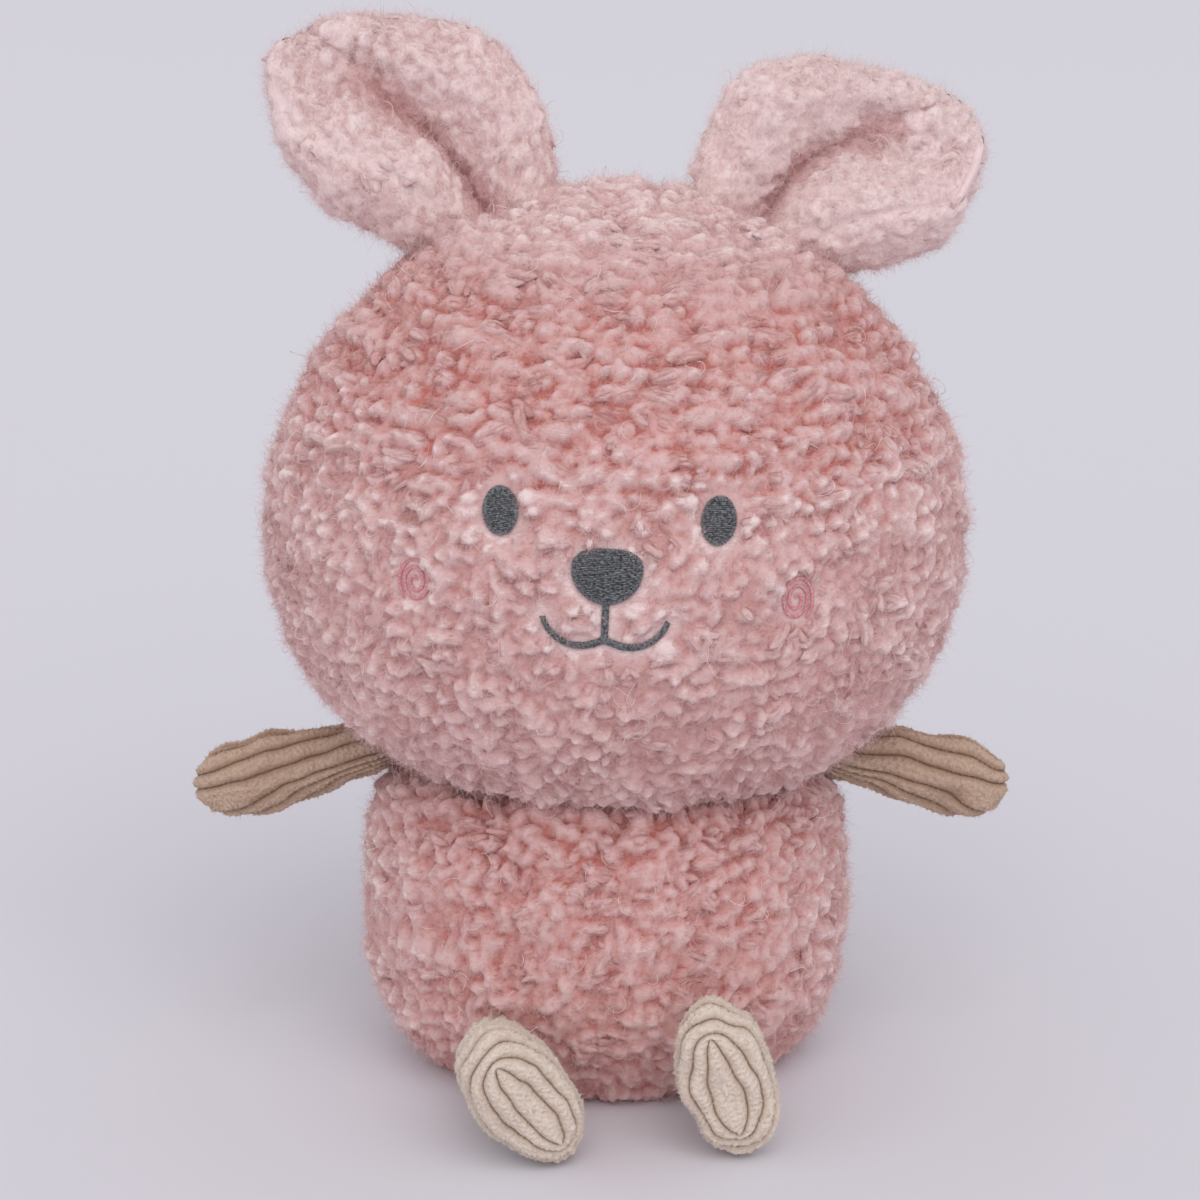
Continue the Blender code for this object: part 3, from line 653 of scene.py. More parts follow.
def pile_look(name, through=0.0):
    """Pink curly pile: painted shade, warm and dark, in its recesses and painted highlight, pale, at its
    tips; fibres let some light through.
    """
    look, nodes, links, shader = new_look(name, PILE_MID, 0.92, Sheen_Weight=0.03, Sheen_Tint=PILE_SHEEN,
                                          Specular_IOR_Level=0.05)
    shade = add_node(nodes, "ShaderNodeAttribute", attribute_name="shade")
    grain = add_node(nodes, "ShaderNodeAttribute", attribute_name="grain")
    mottle = add_node(nodes, "ShaderNodeTexNoise", Scale=2.0, Detail=3.0, Roughness=0.62)
    links.new(grain.outputs["Vector"], mottle.inputs["Vector"])
    tone = mottled_shade(nodes, links, shade, mottle, 0.44, 0.22)
    colour = colour_by(nodes, links, shader, tone, PILE_STOPS)
    bump = relief_by(nodes, links, shader, mottle, 0.7, 0.4)

    # fine fibres are lit as the soft mass they stand on, along the field "soft"
    form = add_node(nodes, "ShaderNodeNewGeometry")
    soft = add_node(nodes, "ShaderNodeAttribute", attribute_name="soft")
    turned = add_node(nodes, "ShaderNodeVectorTransform", vector_type="VECTOR", convert_from="OBJECT",
                      convert_to="WORLD")
    both = add_node(nodes, "ShaderNodeVectorMath", operation="ADD")
    level = add_node(nodes, "ShaderNodeVectorMath", operation="NORMALIZE")
    links.new(soft.outputs["Vector"], turned.inputs["Vector"])
    links.new(form.outputs["Normal"], both.inputs[0])
    links.new(turned.outputs["Vector"], both.inputs[1])
    links.new(both.outputs["Vector"], level.inputs[0])
    links.new(level.outputs["Vector"], bump.inputs["Normal"])
    if through:
        glow = add_node(nodes, "ShaderNodeBsdfTranslucent")
        blend = add_node(nodes, "ShaderNodeMixShader")
        blend.inputs[0].default_value = through
        links.new(colour, glow.inputs["Color"])
        links.new(shader.outputs["BSDF"], blend.inputs[1])
        links.new(glow.outputs["BSDF"], blend.inputs[2])
        links.new(blend.outputs["Shader"], nodes["Material Output"].inputs["Surface"])
    return look


def two_tone_look(name, dark, pale, scale, roughness, relief_mm):
    """A cloth or thread whose colour and relief follow a fine noise."""
    middle = tuple((a + b) / 2.0 for a, b in zip(dark, pale))
    look, nodes, links, shader = new_look(name, middle, roughness, Sheen_Weight=0.2)
    place = add_node(nodes, "ShaderNodeTexCoord")
    noise = add_node(nodes, "ShaderNodeTexNoise", Scale=scale, Detail=2.0, Roughness=0.6)
    links.new(place.outputs["Object"], noise.inputs["Vector"])
    colour_by(nodes, links, shader, noise.outputs["Fac"], [(0.3, dark), (0.7, pale)])
    relief_by(nodes, links, shader, noise, 0.6, relief_mm)
    return look


def corduroy_look(name, groove, low, crown):
    """Cut-pile ribs: dark in the grooves, partly the ground weave's own colour and partly painted shade, and
    mottled and napped on the crowns.
    """
    look, nodes, links, shader = new_look(name, low, 0.9, Sheen_Weight=0.3, Sheen_Roughness=0.4,
                                          Specular_IOR_Level=0.15)
    shade = add_node(nodes, "ShaderNodeAttribute", attribute_name="shade")
    place = add_node(nodes, "ShaderNodeTexCoord")
    nap = add_node(nodes, "ShaderNodeTexNoise", Scale=1500.0, Detail=3.0, Roughness=0.65)
    links.new(place.outputs["Object"], nap.inputs["Vector"])
    tone = mottled_shade(nodes, links, shade, nap, 0.45, 0.30)
    colour_by(nodes, links, shader, tone, [(0.15, groove), (0.55, low), (0.95, crown)])
    relief_by(nodes, links, shader, nap, 0.9, 0.6)
    return look


def hair_look():
    """Single shiny hairs that catch the light; their pale colour is partly painted highlight, for their
    glints.
    """
    look, nodes, links, shader = new_look("pale_loose_hair", (0.93, 0.78, 0.75), 0.38)
    noise = add_node(nodes, "ShaderNodeTexNoise", Scale=300.0, Detail=1.0)
    stops = [(0.3, (0.88, 0.66, 0.62)), (0.7, (0.96, 0.86, 0.82))]
    colour_by(nodes, links, shader, noise.outputs["Fac"], stops)
    return look


# Name, dark and pale colour, noise scale, roughness, and relief in mm
TWO_TONES = dict(
    dark_thread=("grey_thread", (0.024, 0.027, 0.032), (0.220, 0.230, 0.248), 1700.0, 0.36, 0.08),
    rose_thread=("rose_thread", (0.62, 0.18, 0.22), (0.80, 0.40, 0.42), 2200.0, 0.45, 0.05),
    stuffing=("white_fibre_fill", (0.74, 0.74, 0.72), (0.88, 0.88, 0.86), 260.0, 0.95, 0.8),
    pouch=("pellet_pouch_film", (0.66, 0.66, 0.65), (0.84, 0.84, 0.82), 330.0, 0.6, 0.9),
    seam_thread=("pink_seam_thread", (0.52, 0.28, 0.26), (0.70, 0.42, 0.40), 2500.0, 0.6, 0.1),
    base_cloth=("pink_base_weave", (0.55, 0.32, 0.30), (0.68, 0.43, 0.40), 1500.0, 0.9, 0.15))
# Name, and colour of the grooves, partly painted shade, between them and on the crowns
CORDUROYS = dict(
    tan_cord=("tan_corduroy_nap", (0.24, 0.145, 0.095), (0.45, 0.305, 0.220), (0.62, 0.455, 0.350)),
    cream_cord=("cream_corduroy_nap", (0.36, 0.255, 0.195), (0.67, 0.545, 0.450), (0.80, 0.690, 0.600)))
LOOKS = dict(pile=pile_look("pink_pile_lock"), skin=pile_look("pink_pile_backing"),
             fibre=pile_look("pink_pile_fibre", FIBRE_THROUGH), hair=hair_look())
LOOKS.update({key: two_tone_look(*row) for key, row in TWO_TONES.items()})
LOOKS.update({key: corduroy_look(*row) for key, row in CORDUROYS.items()})


# ---- the head and torso

def form_points(form, lon, lat, grow):
    """Points of an egg-like form at arrays of degrees, grown outward by grow mm."""
    rise = np.sin(np.radians(lat))
    power = np.where(rise > 0, form["power_up"], form["power_down"])
    height = np.sign(rise) * np.abs(rise) ** power
    ring = np.maximum(0.0, np.cos(np.radians(lat))) ** power * (1.0 - form["taper"] * height)
    reach = np.where(rise > 0, form["up"], form["down"]) + grow
    cx, cy, cz = form["centre"]
    x = cx + (form["half"][0] + grow) * ring * np.cos(np.radians(lon))
    y = cy + (form["half"][1] + grow) * ring * np.sin(np.radians(lon))
    return np.stack(np.broadcast_arrays(x, y, cz + reach * height), -1)


def soft_max(a, b, width):
    return 0.5 * (a + b + np.sqrt((a - b) ** 2 + width ** 2))


def head_surface(lon, lat, grow):
    p = form_points(HEAD, lon, lat, grow)
    radius = np.hypot(p[..., 0], p[..., 1])
    under = HEAD_UNDER_Z - grow + np.maximum(0.0, radius - 40.0) * HEAD_UNDER_SLOPE
    p[..., 2] = soft_max(p[..., 2], under, 4.0)
    return p


def torso_surface(lon, lat, grow):
    p = form_points(TORSO, lon, lat, grow)
    p[..., 2] = -soft_max(-p[..., 2], -(TORSO_TOP_Z + grow), 3.0)
    return p


def surface_frame(surface, lon, lat, grow):
    """Place, outward normal and eastward unit vectors of a surface."""
    step = 0.2
    place = surface(lon, lat, grow)
    east = unit(surface(lon + step, lat, grow) - surface(lon - step, lat, grow))
    north = unit(surface(lon, lat + step, grow) - surface(lon, lat - step, grow))
    return place, unit(np.cross(east, north)), east, north


def scatter_rows(surface, lats, row_gap, pitch, jitter, seed):
    """Even rows of places round a form: their longitudes, and what surface_frame tells of them."""
    draw = np.random.default_rng(seed)
    fine = np.linspace(lats[0], lats[1], 400)
    arc = [surface(np.full(400, lon), fine, 0.0) for lon in (270.0, 0.0)]
    steps = np.mean([np.linalg.norm(np.diff(a, axis=0), axis=-1) for a in arc], 0)
    run = np.concatenate([[0.0], np.cumsum(steps)])
    rows = int(run[-1] / row_gap)
    lon_all, lat_all = [], []
    turn = np.linspace(0.0, 360.0, 181)
    for row in range(rows):
        at = (row + 0.5) / rows * run[-1]
        lat = np.interp(at, run, fine)
        loop = surface(turn, np.full(181, lat), 0.0)
        arcs = np.concatenate([[0.0], np.cumsum(np.linalg.norm(np.diff(loop, axis=0), axis=-1))])
        count = max(3, int(arcs[-1] / pitch))
        where = (np.arange(count) + draw.uniform(0, 1) + draw.uniform(-0.35, 0.35, count)) / count * arcs[-1]
        lon_all.append(np.interp(where % arcs[-1], arcs, turn))
        shift = draw.normal(0.0, jitter, count) * row_gap
        lat_all.append(np.interp(np.clip(at + shift, 0.0, run[-1]), run, fine))
    lon = np.concatenate(lon_all)
    return lon, *surface_frame(surface, lon, np.concatenate(lat_all), 0.0)


HEAD_ROLL = 2.5  # degrees, as the CAD's head is turned about the neck
NECK = Vector(joint_place("neck_twist"))
TURN = Matrix.Rotation(math.radians(HEAD_ROLL), 4, "Y")
HEAD_MATRIX = np.array(Matrix.Translation(NECK) @ TURN @ Matrix.Translation(-NECK))


def face_nodes():
    """Each embroidery's middle and half size across the face, in the head's own frame, in mm."""
    back = np.linalg.inv(HEAD_MATRIX)
    found = {}
    for name, node in frame["nodes"].items():
        if name.endswith("_embroidery"):
            co = np.array([v.co for v in node.data.vertices]) / MM
            co = co @ back[:3, :3].T + back[:3, 3]
            low, high = co.min(0), co.max(0)
            found[name] = ((low + high) / 2.0, (high - low) / 2.0)
    return found


FACE = face_nodes()


def mouth_paths(middle, half):
    """The line down from the nose, and the mouth's two arcs, as paths of (x, z) places."""
    low, high = middle[2] - half[2], middle[2] + half[2]
    joint = mix(low, high, 0.25)
    stem = np.stack([np.full(12, middle[0]), np.linspace(high + 1.2, joint - 0.3, 12)], -1)
    share = np.linspace(0.0, 1.0, 40)
    z = joint - 1.7 * np.sin(math.pi * np.minimum(1.0, share * 1.2)) + 4.8 * share ** 9
    return stem, [np.stack([middle[0] + side * (half[0] + 0.4) * share, z], -1) for side in (-1.0, 1.0)]


def face_clear(place):
    """Distance in mm from points on the head to the nearest embroidery, less than 0 within it."""
    clear = np.full(len(place), 99.0)
    for name, (middle, half) in FACE.items():
        dx, dz = place[:, 0] - middle[0], place[:, 2] - middle[2]
        near = np.where((place[:, 1] < 0.0) & (np.hypot(dx, dz) < 26.0))[0]
        if name.startswith("mouth"):
            stem, arcs = mouth_paths(middle, half)
            line = np.concatenate([stem] + arcs)
            gap = np.linalg.norm(place[near][:, None, ::2] - line[None], axis=-1).min(1) - 0.9
        else:
            reach = np.hypot(dx[near] / half[0], dz[near] / half[2])
            gap = (reach - 1.0) * min(half[0], half[2]) + (1.3 if name.startswith("cheek") else 0.0)
        clear[near] = np.minimum(clear[near], gap)
    return clear


CROWN_Z = 195.0
BROW_Z = 150.0
CHEEK_Z = 140.0
NECK_Z = 92.0
DROOP_Z = 172.0  # below this, the head's locks hang more and more


def head_painted_light(points):
    """Painted light and shade: paler on the crown, which the light falls on, and on the cheeks and the sides,
    and warmer and darker on the forehead.
    """
    z = points[:, 2]
    crown, brow = smooth((z - CROWN_Z) / 18.0), smooth((z - BROW_Z) / 25.0)
    side = smooth((np.abs(points[:, 0]) - 42.0) / 30.0)
    return 0.26 * crown - 0.11 * brow * (1.0 - crown) + 0.12 * (1.0 - brow) + 0.06 * side


def head_contrast(points):
    """The crown and the cheeks are lit through more than the forehead is."""
    z = points[:, 2]
    crown, cheek = smooth((z - CROWN_Z + 5.0) / 20.0), 1.0 - smooth((z - CHEEK_Z) / 30.0)
    return 0.92 - 0.58 * crown - 0.48 * cheek


# Big locks, then small ones: mm between rows and along a row, and their lengths and widths
HEAD_LOCKS = ((4.9, 5.3, (5.0, 13.0), (2.9, 5.2)), (4.0, 4.3, (3.5, 6.8), (1.8, 3.0)))
TORSO_LOCKS = ((4.3, 4.5, (4.8, 9.5), (2.3, 3.8)), (3.7, 3.9, (3.3, 6.2), (1.7, 2.8)))
STREAKS = (0.4, 0.4, 1.0)
HEAD_LATS = (-62.0, 89.9)  # degrees between which pile grows
TORSO_LATS = (-50.0, 75.0)


def build_head():
    """Long locks lie sideways over the brow, and shorter ones hang at the cheeks and below."""
    draw = np.random.default_rng(11)
    spots = []
    for layer, (row_gap, pitch, lengths, widths) in enumerate(HEAD_LOCKS):
        lon, place, normal, east, _ = scatter_rows(head_surface, (-60.0, 89.0), row_gap, pitch,
                                                   0.10 + 0.30 * layer, 21 + layer)
        count = len(lon)
        droop = smooth((DROOP_Z - place[:, 2]) / 35.0)
        wild = draw.uniform(0, 1, count) < mix(0.06 + 0.14 * layer, 0.9, droop)
        angle = draw.normal(0.0, 0.22, count) + math.pi * draw.integers(0, 2, count)
        angle = np.where(wild, draw.normal(-math.pi / 2, 1.1, count), angle)
        heading = around(east, normal, angle)
        size = draw.uniform(0.0, 1.0, count) ** 1.6
        length, girth = mix(*lengths, size), draw.uniform(0, 1, count)
        if layer == 0:
            length = length * mix(1.0, 0.75, droop)
            width = mix(*widths, 0.5 * size + 0.5 * girth) * mix(1.0, 0.78, droop)
        else:
            width = mix(*widths, girth)
        lift = mix(0.6, 2.5, draw.uniform(0, 1, count)) + 0.6 * ripple(place, 14.0, 31) - 0.2 * layer
        lift += 1.2 * smooth((NECK_Z - place[:, 2]) / 10.0)
        spots.append((lon, place, normal, heading, length, width, np.maximum(0.3, lift)))
    lon, place, normal, heading, length, width, lift = [np.concatenate(v) for v in zip(*spots)]
    clear = face_clear(place)
    shrink = mix(0.6, 1.0, smooth((clear - 0.5) / 4.0))
    spots = [lon, place, normal, heading, length * shrink, width * mix(1.0, shrink, 0.6), lift * shrink]
    spots = [v[clear > (0.20 * width + 0.27 * length) * shrink] for v in spots]
    panels = (("front", "head_front_panel", 180.0, 360.0), ("back_left", "head_back_left_panel", 90.0, 180.0),
              ("back_right", "head_back_right_panel", 0.0, 90.0))
    grow_pile("head", head_surface, spots, panels, HEAD_LATS, "head", 1000, matrix=HEAD_MATRIX,
              clear=face_clear, tone=head_painted_light, contrast=head_contrast, comb=STREAKS)


SHOULDER_Z = 60.0


def torso_painted_light(points):
    """Painted shade, warmer and darker, under the chin, where the head shades the torso, and painted light,
    paler, at the sides.
    """
    chin = smooth((points[:, 2] - SHOULDER_Z + 5.0) / 14.0)
    side = smooth((np.abs(points[:, 0]) - 34.0) / 20.0)
    return -0.04 - 0.12 * chin + 0.16 * side


def build_torso():
    """Locks lie mostly sideways, and are fuller under the chin."""
    draw = np.random.default_rng(12)
    spots = []
    for layer, (row_gap, pitch, lengths, widths) in enumerate(TORSO_LOCKS):
        lon, place, normal, east, _ = scatter_rows(torso_surface, (-50.5, 74.0), row_gap, pitch, 0.30,
                                                   41 + layer)
        count = len(lon)
        angle = draw.normal(0.0, 0.35, count) + math.pi * draw.integers(0, 2, count)
        angle = np.where(draw.uniform(0, 1, count) < 0.25, draw.normal(-math.pi / 2, 0.9, count), angle)
        heading = around(east, normal, angle)
        length = mix(*lengths, draw.uniform(0.0, 1.0, count) ** 1.5)
        width = mix(*widths, draw.uniform(0, 1, count))
        lift = mix(0.5, 2.2, draw.uniform(0, 1, count)) + 0.6 * ripple(place, 12.0, 32) - 0.2 * layer
        lift += 2.0 * smooth((place[:, 2] - SHOULDER_Z) / 12.0)
        spots.append((lon, place, normal, heading, length, width, np.maximum(0.3, lift)))
    spots = [np.concatenate(v) for v in zip(*spots)]
    panels = (("front", "torso_front_panel", 180.0, 360.0), ("back", "torso_back_panel", 0.0, 180.0))
    grow_pile("torso", torso_surface, spots, panels, TORSO_LATS, "torso", 2000, tone=torso_painted_light,
              contrast=level_contrast(0.68), comb=STREAKS)


# ---- embroidery

PAD_OUT = 1.15  # the padded bed of an embroidery stands this far off the cloth
PAD_RINGS = 7
FORWARD = np.array([0.0, -1.0, 0.0])
THREAD_R = 0.19
LINE_GAP = 0.30  # between the stitches across a line
GREY = ("dark_thread", "grey_embroidery_thread")  # look and slot
ROSE = ("rose_thread", "rose_embroidery_thread")
EYE_SHARE = 0.95  # of the CAD's half sizes
CHEEK_SHARE = 1.2
CHEEK_TURNS = 2.55


def face_point(x, z, out):
    """Points at places (x, z) of the face, out mm in front of the cloth, in the head's own frame."""
    cx, cy, cz = HEAD["centre"]
    reach = np.where(z > cz, HEAD["up"], HEAD["down"])
    power = np.where(z > cz, HEAD["power_up"], HEAD["power_down"])
    height = (z - cz) / reach
    ring = np.sqrt(1.0 - np.abs(height) ** (2.0 / power)) ** power * (1.0 - HEAD["taper"] * height)
    share = (x - cx) / (HEAD["half"][0] * ring)
    y = cy - HEAD["half"][1] * ring * np.sqrt(1.0 - share ** 2)
    return np.stack(np.broadcast_arrays(x, y - out, z), -1)


def stitches(starts, ends, out, arch, radius, seed):
    """Satin stitches: short thread tubes from starts to ends, (N, 2) places on the face."""
    draw = np.random.default_rng(seed)
    count = len(starts)
    s = np.linspace(0.0, 1.0, 5)[None, :, None]
    flat = mix(starts[:, None], ends[:, None], s) + draw.normal(0.0, 0.03, (count, 1, 2))
    lift = out + arch * np.sin(math.pi * (0.08 + 0.84 * s[..., 0])) + draw.normal(0.0, 0.03, (count, 1))
    spine = face_point(flat[..., 0], flat[..., 1], lift)
    _, e1, e2 = spine_ways(spine, FORWARD)
    r = radius * draw.uniform(0.9, 1.1, (count, 1, 1)) * np.array([0.75, 1.0, 1.0, 1.0, 0.75])[None, :, None]
    r = r + np.zeros((1, 1, 6))
    return tubes(spine, e1, e2, r, 0.85 * r, 6)


def pad(outline, out):
    """A low closed cushion inside an outline of (x, z) places, from the cloth to out mm."""
    middle = outline.mean(0)
    share = np.linspace(1.0, 0.02, PAD_RINGS)[:, None, None]
    flat = middle + (outline - middle)[None] * share
    rise = 0.1 + out * np.sqrt(1.0 - share[..., 0] ** 2 * 0.96)
    top = face_point(flat[..., 0], flat[..., 1], rise)
    low = face_point(flat[..., 0], flat[..., 1], np.full(flat.shape[:2], -0.4))
    return shell(top, low, wrap=True)


def join(parts):
    """Mesh arrays of several shapes as one."""
    verts, quads, tris, base = [], [], [], 0
    for v, q, t in parts:
        verts.append(v)
        quads.append(q + base)
        tris.append(t + base)
        base += len(v)
    return np.concatenate(verts), np.concatenate(quads), np.concatenate(tris)


def satin_along(path, width, gap, out, seed):
    """Stitches laid across a path of (x, z) places; width may vary along it."""
    steps = np.linalg.norm(np.diff(path, axis=0), axis=-1)
    run = np.concatenate([[0.0], np.cumsum(steps)])
    count = int(run[-1] / gap)
    at = (np.arange(count) + 0.5) / count * run[-1]
    middle = np.stack([np.interp(at, run, path[:, i]) for i in (0, 1)], -1)
    ahead = unit(np.gradient(middle, axis=0))
    across = np.stack([-ahead[:, 1], ahead[:, 0]], -1)
    slant = 0.25 * ahead
    half = 0.5 * np.interp(at, run, width) if np.ndim(width) else np.full(count, 0.5 * width)
    return stitches(middle - (across + slant) * half[:, None], middle + (across + slant) * half[:, None],
                    out, 0.30, THREAD_R, seed)


def tatami(outline, gap, stitch, out, seed):
    """Rows of short staggered stitches that fill an outline of (x, z) places."""
    low, high = outline[:, 1].min(), outline[:, 1].max()
    rows = int((high - low) / gap)
    starts, ends = [], []
    closed = np.concatenate([outline, outline[:1]])
    for row in range(rows):
        z = low + (row + 0.5) / rows * (high - low)
        cut = np.where((closed[:-1, 1] - z) * (closed[1:, 1] - z) <= 0.0)[0]
        dz = closed[cut + 1, 1] - closed[cut, 1]
        share = (z - closed[cut, 1]) / np.where(np.abs(dz) < 1e-9, 1.0, dz)
        xs = closed[cut, 0] + share * (closed[cut + 1, 0] - closed[cut, 0])
        if len(xs) < 2:
            continue
        left, right = xs.min(), xs.max()
        edges = np.arange(left - stitch * ((row * 0.37) % 1.0), right, stitch)
        for x in edges:
            a, b = max(x + 0.06, left), min(x + stitch - 0.06, right)
            if b - a > 0.35:
                starts.append((a, z))
                ends.append((b, z))
    return stitches(np.array(starts), np.array(ends), out, 0.32, THREAD_R, seed)


def oval(middle, half, count=72):
    turn = np.linspace(0.0, math.tau, count, endpoint=False)
    return np.stack([middle[0] + half[0] * np.cos(turn), middle[2] + half[2] * np.sin(turn)], -1)


def inward(outline, distance):
    """An outline drawn in by a distance; it runs anticlockwise."""
    ahead = unit(np.roll(outline, -1, 0) - np.roll(outline, 1, 0))
    return outline + distance * np.stack([-ahead[:, 1], ahead[:, 0]], -1)


def filled_patch(name, outline, border, look, slot, seed):
    """A padded patch with tatami rows inside a satin border."""
    middle_line = inward(outline, border / 2.0)
    loop = np.concatenate([middle_line, middle_line[:1]])
    parts = [pad(inward(outline, 0.25), PAD_OUT), satin_along(loop, border, 0.36, PAD_OUT - 0.1, seed),
             tatami(inward(outline, border * 0.8), 0.40, 2.1, PAD_OUT + 0.12, seed + 1)]
    finish_patch(name, parts, look, slot)


def finish_patch(name, parts, look, slot):
    piece = mesh_piece(name + "_threads", look, *join(parts), None, HEAD_MATRIX)
    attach(piece, "head")
    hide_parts(name)


def nose_outline(middle, half):
    """A rounded triangle, point down."""
    turn = np.linspace(0.0, math.tau, 96, endpoint=False)
    up, across = np.sin(turn), np.cos(turn)
    z = np.where(up > 0, 0.28 + 0.72 * np.abs(up) ** 0.85, 0.28 - 1.20 * np.abs(up))
    x = np.sign(across) * np.abs(across) ** np.where(up > 0, 0.72, 1.05)
    return np.stack([middle[0] + half[0] * x, middle[2] + half[2] * z], -1)


def build_face():
    for seed, side in ((301, "left"), (311, "right")):
        middle, half = FACE["eye_" + side + "_embroidery"]
        filled_patch("eye_" + side + "_embroidery", oval(middle, EYE_SHARE * half), 1.15, *GREY, seed)
    middle, half = FACE["nose_embroidery"]
    filled_patch("nose_embroidery", nose_outline(middle, half), 1.2, *GREY, 321)
    middle, half = FACE["mouth_embroidery"]
    stem, arcs = mouth_paths(middle, half)
    parts = [satin_along(stem, 1.5, LINE_GAP, 0.9, 331)]
    widths = np.linspace(1.7, 1.25, 40)
    parts += [satin_along(arc, widths, LINE_GAP, 0.9, 332 + i) for i, arc in enumerate(arcs)]
    finish_patch("mouth_embroidery", parts, *GREY)
    for side, sign in SIDES:
        middle, half = FACE["cheek_" + side + "_embroidery"]
        turn = np.linspace(0.0, CHEEK_TURNS * math.tau, 160)
        radius = mix(0.10, 0.90, (turn / turn[-1]) ** 0.85)
        path = np.stack([middle[0] - sign * half[0] * radius * np.cos(turn + 0.6),
                         middle[2] + CHEEK_SHARE * half[2] * radius * np.sin(turn + 0.6)], -1)
        finish_patch("cheek_" + side + "_embroidery", [satin_along(path, 0.72, LINE_GAP, 0.75, 341)], *ROSE)


# ---- ears

# pale is painted light: the ears' pile is painted paler, as lit through, and the right ear more, as the light
# falls from the right
EARS = dict(left=dict(mirror=-1.0, top=60.0, wide=0.97, crease=0.0, seam=0.0, pale=0.42),
            right=dict(mirror=1.0, top=51.0, wide=1.03, crease=-3.0, seam=2.5, pale=0.50))
# Share of an ear's height, then how far its inner rim is inward, where its crease is and its depth, where
# its rim seam is and its depth, how far its outer rim is outward, and the depth of its back, in mm
EAR_SECTIONS = np.array([
    (-0.10, 18.0, -4.0, 2.0, 1.0, -6.0, 10.0, 6.0),
    (0.00, 23.0, -4.0, 2.0, 3.0, -8.0, 14.0, 7.0),
    (0.12, 26.0, -4.0, 3.0, 5.0, -12.0, 19.0, 8.0),
    (0.26, 28.0, -3.5, 3.0, 7.0, -15.0, 25.0, 9.0),
    (0.43, 29.0, -1.5, 3.0, 13.0, -16.0, 29.5, 9.0),
    (0.57, 27.0, 1.5, 1.0, 20.0, -14.0, 30.5, 9.0),
    (0.72, 20.5, 5.0, -3.0, 26.0, -10.0, 29.0, 7.5),
    (0.86, 9.5, 9.0, -5.5, 25.0, -8.0, 27.0, 6.0),
    (0.94, 1.5, 11.0, -6.0, 23.0, -7.0, 24.5, 5.0),
    (1.00, -7.0, 13.0, -5.0, 19.0, -6.0, 20.0, 4.0)])


EAR_CORNERS = 16  # round each cross-section


def ear_corners(ear, share):
    """The corners of an ear's cross-sections at shares of its height, as (..., corners, 2)."""
    cap = np.sqrt(np.maximum(0.001, 1.0 - (np.maximum(0.0, share - 0.9) / 0.1) ** 2))
    inner, crease, deep, seam, ridge, outer, back = [
        np.interp(share, EAR_SECTIONS[:, 0], EAR_SECTIONS[:, k]) for k in range(1, 8)]
    inner, outer, seam = -inner * ear["wide"], outer * ear["wide"], seam * ear["wide"]
    crease = crease + ear["crease"] * np.sin(math.pi * np.clip(share * 1.25, 0.0, 1.0))
    seam = np.minimum(seam + ear["seam"], mix(inner, outer, 0.96))
    deep, ridge, back, lobe = (0.6 * deep - 3.5) * cap, 0.8 * ridge * cap, back * cap, -7.0 * cap
    corners = [
        (inner, 0.0 * share),
        (mix(inner, outer, 0.06), 0.65 * lobe),
        (mix(inner, crease, 0.45), lobe),
        (mix(inner, crease, 0.80), 0.75 * lobe),
        (crease, deep),
        (mix(crease, seam, 0.30), mix(deep, ridge, 0.55)),
        (mix(crease, seam, 0.65), mix(deep, ridge, 0.92)),
        (seam, ridge),
        (mix(seam, outer, 0.45), 0.98 * ridge),
        (mix(seam, outer, 0.85), 0.70 * ridge),
        (outer, 0.30 * ridge),
        (mix(inner, outer, 0.95), 0.55 * back),
        (mix(inner, outer, 0.73), back),
        (mix(inner, outer, 0.48), 1.08 * back),
        (mix(inner, outer, 0.22), 0.80 * back),
        (mix(inner, outer, 0.06), 0.45 * back)]
    return np.stack([np.stack(corner, -1) for corner in corners], -2)


def ear_form(ear, lon, lat):
    """Points of an ear folded forward along its outer side: closed cross-sections up to a slanted tip."""
    cap_turn = np.radians(np.clip(lat - 60.0, 0.0, 30.0) * 3.0)
    share = np.where(lat < 60.0, 0.9 * lat / 60.0, 0.9 + 0.1 * np.sin(cap_turn))
    corners = ear_corners(ear, share)
    turn = lon / 360.0 if ear["mirror"] > 0 else 1.0 - lon / 360.0
    at = (turn % 1.0) * EAR_CORNERS
    low = at.astype(int)
    f = (at - low)[..., None]
    near = [((low + k) % EAR_CORNERS)[..., None, None] for k in (-1, 0, 1, 2)]
    a, b, c, d = [np.take_along_axis(corners, corner, -2)[..., 0, :] for corner in near]
    flat = b + 0.5 * f * (c - a + f * (2 * a - 5 * b + 4 * c - d + f * (3 * (b - c) + d - a)))
    return np.stack([ear["mirror"] * flat[..., 0], flat[..., 1], ear["top"] * share], -1)


def ear_surface(side):
    ear = EARS[side]

    def surface(lon, lat, grow):
        lon, lat = np.broadcast_arrays(np.asarray(lon, float), np.asarray(lat, float))
        place = ear_form(ear, lon, lat)
        if np.all(np.asarray(grow) == 0.0):
            return place
        east = ear_form(ear, lon + 1.0, lat) - ear_form(ear, lon - 1.0, lat)
        north = ear_form(ear, lon, np.minimum(lat + 1.0, 89.5)) - ear_form(ear, lon, lat - 1.0)
        return place + unit(np.cross(east, north)) * grow

    return surface


def ear_matrix(side):
    joint = joint_called("ear_" + side + "_flop")
    x_axis, y_axis = np.array(joint["axis"]), np.array([0.0, 1.0, 0.0])
    matrix = np.eye(4)
    matrix[:3, :3] = np.stack([x_axis, y_axis, np.cross(x_axis, y_axis)], -1)
    matrix[:3, 3] = np.array(joint["pos_m"]) / MM
    return matrix


def from_line(points, line):
    """Distance from each point to the nearest point of a line."""
    return np.linalg.norm(points[:, None] - line[None], axis=-1).min(1)


